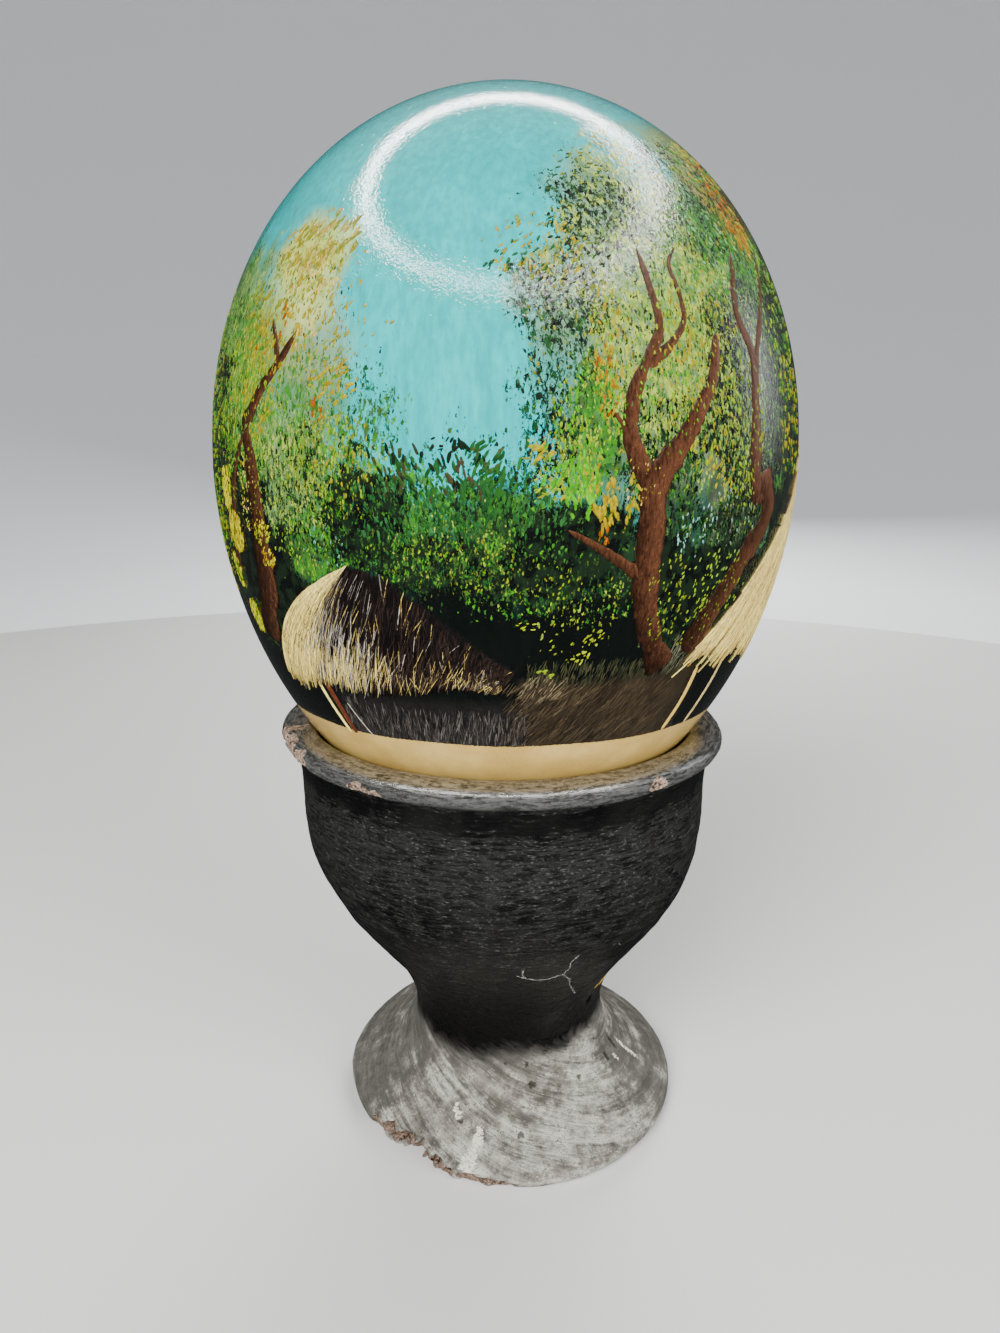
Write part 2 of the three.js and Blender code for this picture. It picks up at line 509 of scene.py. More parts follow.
RIGHT_PATCHES = [
    (25, 106, 18, 30, (0.15, 0.20, 0.105), 0.95), (9, 112, 9, 8, (0.13, 0.21, 0.11), 0.6),
    (18, 127, 11, 9, (0.16, 0.22, 0.11), 0.7), (35, 118, 14, 17, (0.10, 0.23, 0.095), 0.85),
    (26, 90, 12, 14, (0.085, 0.125, 0.060), 0.9), (13, 89, 7, 11, (0.028, 0.070, 0.012), 0.8),
    (9, 102, 8, 8, (0.085, 0.17, 0.085), 0.5), (40, 96, 12, 18, (0.105, 0.135, 0.075), 0.85),
    (60, 104, 18, 36, (0.080, 0.165, 0.070), 0.95), (49, 84, 15, 17, (0.070, 0.105, 0.060), 0.95),
    (50, 133, 10, 9, (0.34, 0.20, 0.018), 0.75), (46, 141, 11, 5, (0.20, 0.26, 0.06), 0.85),
    (31, 73, 16, 11, (0.012, 0.026, 0.015), 0.95), (43, 78, 10, 9, (0.022, 0.036, 0.024), 0.95),
    (37, 76, 5, 6.5, (0.085, 0.090, 0.065), 0.7), (37, 62, 10, 6, (0.030, 0.048, 0.018), 0.8),
    (21, 69, 9, 8, (0.008, 0.018, 0.009), 0.95),
]

# Clumps of flecks: turn, level, half width and half height in mm, and strength.
LEFT_CLUMPS = {
    "dark": [
        (-64, 82, 18, 26, 0.6), (-46, 64, 16, 16, 0.8), (-34, 80, 16, 15, 0.4), (-22, 93, 8, 12, 0.28),
        (-40, 112, 15, 14, 0.2), (-22, 78, 9, 12, 0.6), (-47, 100, 10, 16, 0.22),
    ],
    "green": [
        (-58, 96, 22, 26, 0.7), (-33, 96, 12, 16, 0.5), (-24, 84, 10, 15, 0.55), (-28, 73, 13, 10, 0.7),
    ],
    "sage": [
        (-38, 84, 14, 12, 0.55), (-56, 104, 20, 22, 0.5), (-32, 104, 10, 10, 0.4), (-37, 116, 11, 11, 0.5),
    ],
    "lime": [
        (-48, 98, 16, 18, 0.45), (-31, 86, 11, 16, 0.45), (-23, 83, 7, 8, 0.42), (-60, 80, 16, 20, 0.35),
        (-36, 72, 9, 6, 0.3),
    ],
    "gold": [
        (-37, 119, 12, 11, 0.45), (-40, 106, 12, 9, 0.4), (-50, 98, 7, 16, 0.35), (-27, 101, 6, 6, 0.25),
        (-53, 76, 5.5, 8, 0.7), (-50, 84, 6, 6, 0.3), (-57, 56, 4, 5, 0.5), (-64, 92, 8, 20, 0.3),
    ],
}
BUSH_CLUMPS = {
    "dark": [(-14, 81, 11, 7, 0.36), (-2, 79, 14, 8, 0.42), (8, 72, 18, 9, 0.62), (-8, 70, 28, 7, 0.48),
             (-8, 86, 14, 7, 0.24)],
    "green": [(-16, 79, 13, 7, 0.62), (-4, 80, 15, 7, 0.55), (6, 75, 16, 7, 0.45), (-4, 71, 24, 6, 0.5),
              (-20, 72, 8, 6, 0.5), (6, 65, 18, 6, 0.35)],
    "sage": [(14, 76, 7, 6, 0.3)],
    "lime": [(-12, 72, 13, 6, 0.34), (0, 70.5, 15, 6, 0.34), (8, 67, 14, 7, 0.22), (12, 60, 12, 6, 0.12),
             (14, 66, 9, 7, 0.24), (-6, 77, 20, 5, 0.16)],
    "gold": [],
}
RIGHT_CLUMPS = {
    "dark": [
        (38, 76, 10, 10, 0.5), (8, 112, 10, 10, 0.42), (17, 126, 12, 10, 0.42), (8, 101, 8, 11, 0.36),
        (24, 108, 16, 26, 0.32), (25, 88, 13, 15, 0.42), (6, 90, 5, 9, 0.42), (36, 128, 14, 13, 0.4),
        (44, 92, 18, 32, 0.5), (40, 64, 16, 13, 0.9), (62, 100, 18, 36, 0.6), (56, 134, 15, 10, 0.45),
        (67, 74, 16, 18, 0.9),
    ],
    "green": [
        (12, 94, 8, 13, 0.7), (20, 108, 13, 22, 0.35), (33, 104, 14, 26, 0.45), (44, 122, 14, 16, 0.7),
        (60, 104, 18, 32, 0.7), (36, 67, 11, 8, 0.4), (64, 84, 14, 20, 0.5), (25, 84, 10, 12, 0.4),
    ],
    "sage": [
        (13, 116, 12, 12, 0.5), (26, 110, 15, 26, 0.66), (41, 100, 12, 26, 0.6), (24, 132, 12, 9, 0.6),
        (34, 76, 8, 7, 0.3), (56, 118, 12, 18, 0.4),
    ],
    "lime": [
        (10, 87, 7, 9, 0.5), (7, 115, 8, 8, 0.3), (16, 103, 6, 14, 0.45), (31, 104, 15, 24, 0.4),
        (39, 65, 9, 6, 0.45), (42, 90, 12, 18, 0.34), (57, 106, 16, 30, 0.36), (24, 92, 10, 10, 0.34),
    ],
    "gold": [
        (5, 118, 7, 5, 0.4), (16, 104, 4, 12, 0.42), (18, 82, 5, 8, 0.35), (33, 106, 7, 20, 0.34),
        (51, 132, 8, 10, 0.7), (38, 88, 7, 8, 0.3), (60, 112, 7, 22, 0.3), (30, 98, 14, 14, 0.2),
    ],
}


def moved(group, turn, flip=1):
    """The same places round the egg by a turn, perhaps mirrored."""
    return [(turn + flip * first[0], *first[1:]) for first in group]


def near_front(group):
    """The places that are close enough to the front to be copied to the back."""
    return [first for first in group if abs(first[0]) < COPIED_TURN]


# The unseen back repeats the groves of the front: a letter for each copy, the grove, the turn that
# moves it there, and -1 where it is mirrored.
BACK_COPIES = (("a", "right", 150, -1), ("b", "left", 142, -1), ("c", "right", 212, 1))
BUSH_TURNS = (0, 118, 152, 186, 222, 258, 284)
COPIED_TURN = 48
copied = {
    "left": (LEFT_PATCHES, LEFT_CLUMPS),
    "right": (RIGHT_PATCHES[:7] + RIGHT_PATCHES[12:13], RIGHT_CLUMPS),
}
PATCHES = LEFT_PATCHES + RIGHT_PATCHES
CLUMPS = {name: LEFT_CLUMPS[name] + RIGHT_CLUMPS[name] for name in LEFT_CLUMPS}
for letter, grove, turn, flip in BACK_COPIES:
    patches, clumps = copied[grove]
    PATCHES = moved(near_front(patches), turn, flip) + PATCHES
    for name in CLUMPS:
        CLUMPS[name] = CLUMPS[name] + moved(near_front(clumps[name]), turn, flip)
for turn in BUSH_TURNS:
    PATCHES = PATCHES + moved(BUSH_PATCHES, turn)
    for name in CLUMPS:
        CLUMPS[name] = CLUMPS[name] + moved(BUSH_CLUMPS[name], turn)


def clump_field(turn, level, points, clumps, seed):
    """Density of a kind of leaf at each point: soft-edged clumps with ragged outlines."""
    ragged = 0.3 * rough_noise(points, 9 * MM, seed) + 0.2 * noise(points, 3 * MM, seed + 9)
    total = np.zeros(len(turn))
    for *oval, strength in clumps:
        away = oval_distance(turn, level, *oval)
        total = np.maximum(total, strength * soft_step(1.3 - away + ragged, 0.0, 0.75))
    return total


# ---------------------------------------------------------------------------------------------
# The roofs of the two huts: the turns and levels of the ridge and of the eaves, from left to right,
# and how far the strands bow outwards, in degrees
# ---------------------------------------------------------------------------------------------
LEFT_ROOF = (
    [(-27, 68.5), (-26, 69), (-24.5, 69), (-19, 67.5), (-11.5, 61.5), (-4.5, 55.5), (2, 51)],
    [(-50, 46.5), (-45, 44.8), (-36, 46), (-26, 45.2), (-16, 46.5), (-7, 47.6), (-1, 46.8)], 3.0,
)
RIGHT_ROOF = (
    [(71, 88), (72, 89), (74, 90), (77, 90), (80, 90), (82, 89), (83, 88)],
    [(36, 52), (47, 51.2), (61, 50), (77, 49.5), (93, 50), (108, 51.2), (120, 52)], 0.0,
)
MM_PER_DEGREE_AT_ROOFS = 1.05


def along_points(points, fraction):
    """A smooth place along a list of points, at fractions from 0 to 1."""
    points = np.array(points, dtype=float)
    place = np.clip(fraction, 0, 1) * (len(points) - 1)
    index = np.minimum(place.astype(int), len(points) - 2)
    part = (place - index)[:, None]
    padded = np.concatenate([[2 * points[0] - points[1]], points, [2 * points[-1] - points[-2]]])
    before, first, second, after = (padded[index + shift] for shift in range(4))
    return first + 0.5 * part * (second - before + part * (
        2 * before - 5 * first + 4 * second - after + part * (3 * (first - second) + after - before)))


def roof_place(roof, across, down):
    """Turn and level at fractions across a roof and down it from the ridge to the eaves."""
    ridge, eaves, bulge = roof
    top, bottom = along_points(ridge, across), along_points(eaves, across)
    place = top + (bottom - top) * down[:, None]
    side = 1 - 2 * across
    bow = bulge * np.maximum(side, 0) ** 1.5 * 4 * down * (1 - down)  # most on the left, half way down
    place[:, 0] -= bow
    place[:, 1] += 0.55 * bow
    return place


def inside_outline(turn, level, outline):
    """Signed distance in mm, positive inside a closed outline of turns and levels."""
    scale = (MM_PER_DEGREE_AT_ROOFS, 1.0)
    at = np.stack([turn, level], axis=1) * scale
    corners = np.array(outline) * scale
    inside = np.zeros(len(at), dtype=bool)
    nearest = np.full(len(at), 1e9)
    for first, second in zip(corners, np.roll(corners, -1, axis=0)):
        edge = second - first
        part = np.clip(((at - first) @ edge) / max(edge @ edge, 1e-9), 0, 1)
        nearest = np.minimum(nearest, np.linalg.norm(at - first - part[:, None] * edge, axis=1))
        crosses = (first[1] > at[:, 1]) != (second[1] > at[:, 1])
        with np.errstate(divide="ignore", invalid="ignore"):
            meets = first[0] + edge[0] * (at[:, 1] - first[1]) / edge[1]
        inside ^= crosses & (at[:, 0] < meets)
    return np.where(inside, nearest, -nearest)


def roof_outline(roof):
    """The closed outline of a roof: up its left side, along the ridge, down and back at the eaves."""
    steps = np.linspace(0, 1, 9)
    none, full = np.zeros(9), np.ones(9)
    sides = (none, steps[::-1]), (steps, none), (full, steps), (steps[::-1], full)
    return np.concatenate([roof_place(roof, across, down) for across, down in sides])


def undercoat_colours(turn, level, points, roofs):
    """The smooth colours under the flecks: sky, soft foliage, deep shade, earth, walls and roofs."""
    front = degrees_apart(turn, 0)
    # The sky, and soft foliage over it.
    cloud = rough_noise(points, 30 * MM, 3)
    streak = noise(points * [1, 1, 0.35], 2.2 * MM, 6)
    colour = blend(np.array(SKY), np.array(SKY_HIGH), soft_step(level + 6 * cloud, 95, 150))
    ragged = 0.22 * rough_noise(points * [1, 1, 0.6], 6 * MM, 4) + 0.16 * streak
    for *oval, paint, strength in PATCHES:
        away = oval_distance(turn, level, *oval)
        colour = blend(colour, np.array(paint), strength * soft_step(1.25 - away + ragged, 0.0, 0.7))
    # Deep shade under the trees and behind the huts.
    shade_top = 75.5 - 5 * soft_step(np.abs(front + 33), 16, 7)
    shade = soft_step(shade_top - level + 3.0 * cloud + 2.5 * streak, 0, 12)
    colour = blend(colour, np.array(NIGHT), shade)
    # The earth path and the crumbs beside it.
    bank = level - 47.5 - 0.13 * np.abs(front - 18) + 1.3 * cloud + 1.2 * streak
    path = soft_step(-bank, -1.5, 2.5) * soft_step(front + 1.5 * streak, 2.5, 7.0) * soft_step(front, 43, 36)
    earth = np.array(EARTH) * (1 + 0.35 * noise(points * [0.4, 0.4, 1], 2.4 * MM, 22))[:, None]
    colour = blend(colour, earth, path)
    spill = soft_step(noise(points, 2.5 * MM, 23), 0.1, 0.5) * soft_step(np.abs(front - 8), 6, 3)
    colour = blend(colour, np.array(STRAY_EARTH), 0.6 * spill * soft_step(np.abs(level - 48), 4, 2))
    # The left hut's wall, and the ground colour of both roofs.
    wall = soft_step(level, 46.5, 42.5) * soft_step(front, -36, -33) * soft_step(front, 9.0, 1.0)
    low = soft_step(level, 42, 36)
    colour = blend(colour, np.array(WALL_GREY) * (1 + 0.9 * low)[:, None], wall)
    lit_slope = np.maximum(soft_step(front, -33, -38), soft_step(np.abs(front - 78), 60, 50))
    thatch = blend(np.array(THATCH_DARK), np.array(STRAW), 0.9 * lit_slope)
    return blend(colour, thatch, soft_step(roofs, -0.4, 0.4))


# ---------------------------------------------------------------------------------------------
# The shell and its lining
# ---------------------------------------------------------------------------------------------
def hollow_egg_outline(outer_inset, inner_inset, outer_steps, inner_steps):
    """Outline from the inner upper pole down to the blow hole and up outside to the upper pole."""
    hole = math.asin(BLOW_HOLE_RADIUS / EGG_HALF_WIDTH)
    inner = np.stack(egg_outline(np.linspace(math.pi, hole, inner_steps), inner_inset), axis=1)
    outer = np.stack(egg_outline(np.linspace(hole, math.pi, outer_steps), outer_inset), axis=1)
    inner[0, 0] = outer[-1, 0] = 0
    outline = np.concatenate([inner, outer])
    outline[:, 1] += LOWER_POLE
    return outline


def build_shell():
    """The painted shell, with the painting's fields stored at its vertices."""
    columns, outer_steps, inner_steps = 560, 300, 24
    outline = hollow_egg_outline(0.0, SHELL_WALL, outer_steps, inner_steps)
    points, turn, place = revolve_points(outline, columns)
    level = (points[:, 2] - LOWER_POLE) / MM
    turn = np.degrees(turn)
    front = degrees_apart(turn, 0)
    uneven = points * (1 + 0.0007 * noise(points, 40 * MM, 2))[:, None] * [1, 1, 0]
    uneven[:, 2] = points[:, 2]
    piece = make_mesh("painted_shell", uneven, revolve_faces(len(outline) - 2, columns), varnished_paint())
    roofs = np.maximum(
        inside_outline(front, level, roof_outline(LEFT_ROOF)),
        inside_outline(turn, level, roof_outline(RIGHT_ROOF)),
    )
    put_field(piece, "undercoat", undercoat_colours(turn, level, points, roofs))
    clear = (1 - soft_step(roofs, -0.5, 0.5)) * (1 - soft_step(level, 49, 46))
    relief = np.zeros(len(turn))
    for seed, name in enumerate(CLUMPS, 11):
        field = clump_field(turn, level, points, CLUMPS[name], seed) * clear
        if name == "dark":
            field = np.minimum(1.25 * field, 0.95)
        put_field(piece, name, field)
        relief = np.maximum(relief, field)
    put_field(piece, "relief", relief)
    grass = soft_step(level, 46, 38) * soft_step(front, -38, -30) * soft_step(front, 44, 36)
    grass *= (0.3 + 0.4 * soft_step(front, 8, 2)) * soft_step(roofs, 0, -1)
    put_field(piece, "grass", grass)
    edge = level - PAINT_EDGE - 0.5 * noise(points, 12 * MM, 5)
    put_field(piece, "above_paint_edge", np.where(place >= inner_steps, edge, -9.0))
    return piece


def build_lining():
    """The dried membrane inside the shell."""
    columns, steps = 160, 90
    outline = hollow_egg_outline(MEMBRANE_INSET, MEMBRANE_INSET + MEMBRANE_WALL, steps, steps)
    points = revolve_points(outline, columns)[0]
    look = Look("papery_membrane", Roughness=0.85)
    veins = look.noise(7 * MM, 5.0, 0.65)
    look.set("Base Color", look.mix(veins.step(0.3, 0.7), (0.62, 0.50, 0.32), (0.80, 0.71, 0.52)))
    look.bump(look.noise(1.2 * MM, 4.0), 0.1 * MM)
    return make_mesh("papery_membrane", points, revolve_faces(len(outline) - 2, columns), look.material)


# ---------------------------------------------------------------------------------------------
# Raised paint: trunks, posts, straws and leaves, each a closed stroke standing on the shell
# ---------------------------------------------------------------------------------------------
def on_egg(turns, levels, lift=0.0):
    """Points of the shell at turns in degrees and levels in mm."""
    return on_shell(turns, angle_at_level(levels), lift)


def strokes_mesh(name, turns, levels, widths, heights, pigments, material, surface=on_egg):
    """Many tapering strokes on a surface, as one piece.

    turns and levels are (strokes, stations) arrays, widths and heights in mm are the same or one
    number to a stroke, and pigments are colours, (strokes, 3) or (strokes, stations, 3), or None.
    """
    count, stations = turns.shape
    centre = surface(turns, levels)
    ahead = np.gradient(centre, axis=1)
    ahead /= np.linalg.norm(ahead, axis=2, keepdims=True) + 1e-12
    normal = surface(turns, levels, MM) - centre
    normal /= np.linalg.norm(normal, axis=2, keepdims=True)
    side = np.cross(ahead, normal)
    half = np.broadcast_to(widths, turns.shape)[..., None] * MM / 2
    high = np.broadcast_to(heights, turns.shape)[..., None] * MM
    section = ((-1.0, -0.8), (-0.72, 0.62), (-0.25, 1.0), (0.3, 0.9), (0.75, 0.6), (1.0, -0.8))
    sides = len(section)
    rows = [centre + side * half * across + normal * high * up for across, up in section]
    starts = np.arange(count) * stations * sides
    first = starts[:, None, None] + np.arange(stations - 1)[None, :, None] * sides
    corner = np.arange(sides)
    after = (corner + 1) % sides
    quads = np.stack([first + corner, first + sides + corner, first + sides + after, first + after], axis=-1)
    ends = starts[:, None] + (stations - 1) * sides + corner[::-1]
    faces = [*quads.reshape(-1, 4), *(starts[:, None] + corner), *ends]
    piece = make_mesh(name, np.stack(rows, axis=2).reshape(-1, 3), faces, material)
    if pigments is not None:
        each = sides if pigments.ndim == 3 else sides * stations
        put_field(piece, "pigment", np.repeat(pigments.reshape(-1, 3), each, axis=0))
    put_field(piece, "across", np.tile([value for value, up in section], count * stations))
    return piece


def smooth_routes(lines, stations):
    """Turns and levels at even fractions along smooth lines, each through a few points."""
    routes = np.array([along_points(points, np.linspace(0, 1, stations)) for points in lines])
    return routes[..., 0], routes[..., 1]


# Trunks and branches: points of turn and level from the root up, and the width at each end.
RIGHT_TREE = (
    ([(30, 50.2), (28.6, 52), (25.6, 57), (23.4, 63), (22.6, 70), (22.6, 78), (21.8, 85)], 6.8, 4.8),
    ([(22.2, 82), (19.8, 87), (18.2, 91.5), (18.8, 97.5), (21.2, 103), (23.6, 108), (22.4, 115), (21.2, 120)],
     4.6, 1.1),
    ([(21.6, 82), (24, 86), (27, 90), (30.8, 96), (33.5, 101), (34.8, 108)], 6.6, 2.0),
    ([(21.2, 102), (25, 105), (28.2, 109), (28.2, 113), (27, 118), (29, 121)], 2.2, 0.7),
    ([(22.6, 67.5), (19, 70), (14.5, 73), (9.2, 76.2)], 3.4, 0.9),
    ([(20, 87), (18, 91.3), (16.6, 93), (15.7, 94.6)], 2.8, 0.9),
)
FAR_TREE = (
    ([(35.4, 52.5), (36.1, 54.7), (37.9, 59.5), (41.6, 65.4), (44.6, 70.4), (48.6, 75), (50.2, 79),
      (48.6, 82.6), (46.2, 84.6)], 6.2, 5.2),
    ([(47.4, 80), (44.6, 84), (43.9, 95.7), (44, 105), (41, 112.4), (44, 122.7)], 4.8, 1.5),
    ([(44.4, 102), (45.6, 106), (50, 114), (54.3, 121.7), (55.1, 126)], 2.6, 0.9),
)
LEFT_TREE = (
    ([(-52, 52), (-48.5, 59), (-46.2, 64.7), (-45.4, 75.6), (-46, 86), (-47.4, 92.1), (-45.7, 94.6),
      (-43, 98.4), (-38.7, 102.7), (-35.1, 107.6)], 7.8, 1.6),
    ([(-38.9, 102.4), (-40.3, 106.5), (-41.8, 109.6)], 1.9, 0.8),
    ([(-58, 66), (-55, 74), (-53, 82), (-50, 88), (-47.6, 91.4)], 3.2, 1.4),
)


def moved_tree(limbs, turn, flip):
    """The same tree elsewhere round the egg, perhaps mirrored."""
    return tuple((moved(points, turn, flip), first, last) for points, first, last in limbs)


def moved_leaves(groups, turn, flip):
    """The leaf clusters near the front elsewhere round the egg, perhaps mirrored."""
    return [(*group[:6], 90 + flip * (group[6] - 90), group[7])
            for group in moved(near_front(groups), turn, flip)]


def build_tree(name, limbs, light_side, seed, tone=1.0):
    """Trunk and branches, each a ragged stroke with a dark side and a light one."""
    rng = np.random.default_rng(seed)
    stations = 60
    turns, levels = smooth_routes([points for points, first, last in limbs], stations)
    along = np.linspace(0, 1, stations)
    widths = []
    for points, first, last in limbs:
        wobble = np.convolve(rng.normal(0, 1, stations + 4), np.ones(5) / 5, "valid")
        widths.append((first + (last - first) * along**0.8) * (1 + 0.2 * wobble))
    widths = np.array(widths)
    widths[:, -4:] *= (0.9, 0.75, 0.5, 0.15)
    widths[:, :2] *= (0.4, 0.85)
    uneven = rng.normal(0, 0.06, turns.shape)
    lit = 0.1 + 0.8 * soft_step(levels, 55, 100) * rng.uniform(0.4, 1, (len(limbs), 1)) + uneven
    lit = np.clip(lit, 0, 1)
    pigments = np.array(BARK) + (np.array(BARK_LIGHT) - np.array(BARK)) * lit[..., None] * 0.5
    pigments *= tone * (0.55 + 0.45 * soft_step(levels, 50, 68))[..., None]
    return strokes_mesh(name, turns, levels, widths, 0.08, pigments, bark_paint(name + "_bark", light_side))


def build_thatch(name, roof, count, tint, lift, seed):
    """A roof of separate straws brushed on from the ridge down, ragged at the eaves."""
    rng = np.random.default_rng(seed)
    stations = 6
    across = rng.uniform(0, 1, count)
    start = np.sort(rng.uniform(-0.02, 0.86, count))
    length = rng.uniform(0.14, 0.34, count)
    end = np.minimum(start + length, 1.0 + np.abs(rng.normal(0, 0.05, count)))
    down = start[:, None] + (end - start)[:, None] * np.linspace(0, 1, stations)
    drift = rng.normal(0, 0.008, count)[:, None] * np.linspace(-1, 1, stations)
    where = np.clip(across[:, None] + drift, 0, 1)
    turns, levels = roof_place(roof, where.ravel(), down.ravel()).T.reshape(2, count, stations)
    taper = np.array([0.35, 0.9, 1.0, 0.9, 0.6, 0.15])
    widths = rng.uniform(0.09, 0.27, count)[:, None] * taper
    pigments = tint(across, start, end, rng)
    heights = lift + 0.10 * np.linspace(0, 1, count)[:, None]
    return strokes_mesh(name, turns, levels, widths, heights, pigments, raised_paint(name + "_paint", 3.0))


def choose(rng, weights, colours):
    """A colour for each row of weights, drawn at random."""
    weights = np.stack(weights, axis=1)
    weights /= weights.sum(axis=1, keepdims=True)
    drawn = (rng.uniform(0, 1, (len(weights), 1)) > np.cumsum(weights, axis=1)).sum(axis=1)
    return np.array(colours)[np.minimum(drawn, len(colours) - 1)]


def left_roof_tint(across, start, end, rng):
    """Cream at the left slope and at the fringe, smoky grey in the middle, brown at the right."""
    fringe = soft_step(end, 0.80, 0.97)
    left = soft_step(0.30 - across, 0, 0.16)
    right = soft_step(across, 0.40, 0.66)
    upper = soft_step(start + 0.12 * np.sin(9 * across), 0.55, 0.15) * (1 - left)
    cream = 0.08 + 3.8 * left + 1.5 * fringe * (1 - 0.95 * right)
    straw = 0.12 + 2.2 * left + 1.5 * fringe * (1 - 0.7 * right)
    grey = 0.9 * (1 - left) * (1 - 0.85 * right) * (1 - 0.8 * upper)
    ash = 0.7 * (1 - left) * (1 - 0.85 * right) * (1 - 0.85 * upper)
    dark = 0.8 + 3.4 * upper + 2.0 * right + 0.9 * (1 - left) * (1 - fringe)
    brown = 0.1 + 2.2 * right + 0.7 * upper
    dull = 1.0 * fringe * right
    paints = (CREAM, STRAW, (0.20, 0.17, 0.14), (0.50, 0.45, 0.40), THATCH_DARK, (0.038, 0.022, 0.015),
              (0.19, 0.14, 0.08))
    colours = choose(rng, (cream, straw, grey, ash, dark, brown, dull), paints)
    return colours * rng.uniform(0.5, 1.2, (len(across), 1))


def right_roof_tint(across, start, end, rng):
    """Bright straw with a few brown and ochre straws."""
    one = np.ones(len(across))
    colours = choose(rng, (5 * one, 4 * one, 1.3 * one, 0.9 * one),
                     (CREAM, (0.72, 0.53, 0.17), (0.48, 0.25, 0.05), (0.09, 0.05, 0.02)))
    return colours * rng.uniform(0.62, 1.06, (len(across), 1))


def build_posts():
    """Door posts and lines on the hut walls."""
    posts = (
        ([(-39.6, 45), (-38.4, 40), (-36.7, 33.9)], 0.9, CREAM),
        ([(-37.2, 45.5), (-36.0, 40), (-34.9, 34.2)], 1.5, (0.10, 0.022, 0.010)),
        ([(-33.2, 41.5), (-31.6, 38), (-29.6, 34.2)], 0.3, (0.35, 0.33, 0.26)),
        ([(40.2, 49), (39.9, 42), (38.6, 35)], 1.4, (0.60, 0.40, 0.08)),
        ([(49.2, 50.5), (48.4, 43), (46.9, 35)], 1.3, (0.55, 0.42, 0.16)),
        ([(103, 50.5), (103.5, 43), (104.5, 35)], 1.2, STRAW),
        ([(113, 50), (113.5, 42), (114.5, 35)], 1.1, STRAW),
    )
    stations = 24
    lines, widths, colours = zip(*posts)
    turns, levels = smooth_routes(lines, stations)
    taper = np.ones(stations)
    taper[[0, 1, -2, -1]] = (0.5, 0.85, 0.9, 0.5)
    widths = np.array(widths)[:, None] * taper
    paint = raised_paint("post_paint", 3.0, 0.35)
    return strokes_mesh("hut_posts", turns, levels, widths, 0.1, np.array(colours), paint)


# Fine strokes low on the painting: middle turn and level, half width in degrees, half height in
# mm, number, length in mm, slant in degrees, and colours.
GROUND_STROKES = (
    (21, 42, 20.5, 6.6, 1300, 3.0, 52, ((0.042, 0.029, 0.015), (0.010, 0.007, 0.005), (0.026, 0.018, 0.009),
                                      (0.015, 0.010, 0.006), (0.070, 0.050, 0.027))),
    (-15, 38.5, 20, 3.6, 900, 2.6, 86, ((0.046, 0.040, 0.038), (0.024, 0.021, 0.020), (0.006, 0.005, 0.005),
                                        (0.014, 0.012, 0.011), (0.090, 0.080, 0.070))),
    (34.5, 53, 3.5, 3.6, 150, 2.4, 66, ((0.10, 0.10, 0.055), (0.050, 0.050, 0.030), (0.14, 0.13, 0.080))),
    (7, 47.6, 4, 2.2, 70, 2.0, 58, ((0.15, 0.11, 0.060), (0.060, 0.042, 0.020), (0.20, 0.16, 0.09))),
    (20, 50.5, 16, 2.0, 320, 2.0, 80, ((0.010, 0.016, 0.008), (0.030, 0.035, 0.014), (0.045, 0.040, 0.018))),
)


def build_ground_strokes():
    """Brush strokes of the earth path, and dry grass along the foot of the hut wall."""
    rng = np.random.default_rng(SEED + 9)
    along = np.linspace(-0.5, 0.5, 5)
    groups = []
    for centre, height, half_width, half_height, number, size, slant, colours in GROUND_STROKES:
        reach = size * rng.uniform(0.5, 1.3, (number, 1)) * along
        way = np.radians(slant + rng.normal(0, 9, (number, 1)))
        across = half_width * rng.uniform(-1, 1, (number, 1)) + reach * np.cos(way) / mm_per_degree(height)
        up = height + half_height * rng.uniform(-1, 1, (number, 1)) + reach * np.sin(way)
        widths = rng.uniform(0.10, 0.30, (number, 1)) * (0.3, 0.9, 1.0, 0.8, 0.2)
        paint = np.array(colours)[rng.integers(0, len(colours), number)] * rng.uniform(0.7, 1.2, (number, 1))
        groups.append((centre + across, np.maximum(up, PAINT_EDGE + 0.4), widths, paint))
    turns, levels, widths, pigments = (np.concatenate(rows) for rows in zip(*groups))
    material = raised_paint("ground_paint", 3.0, 0.3)
    return strokes_mesh("ground_strokes", turns, levels, widths, 0.03, pigments, material)


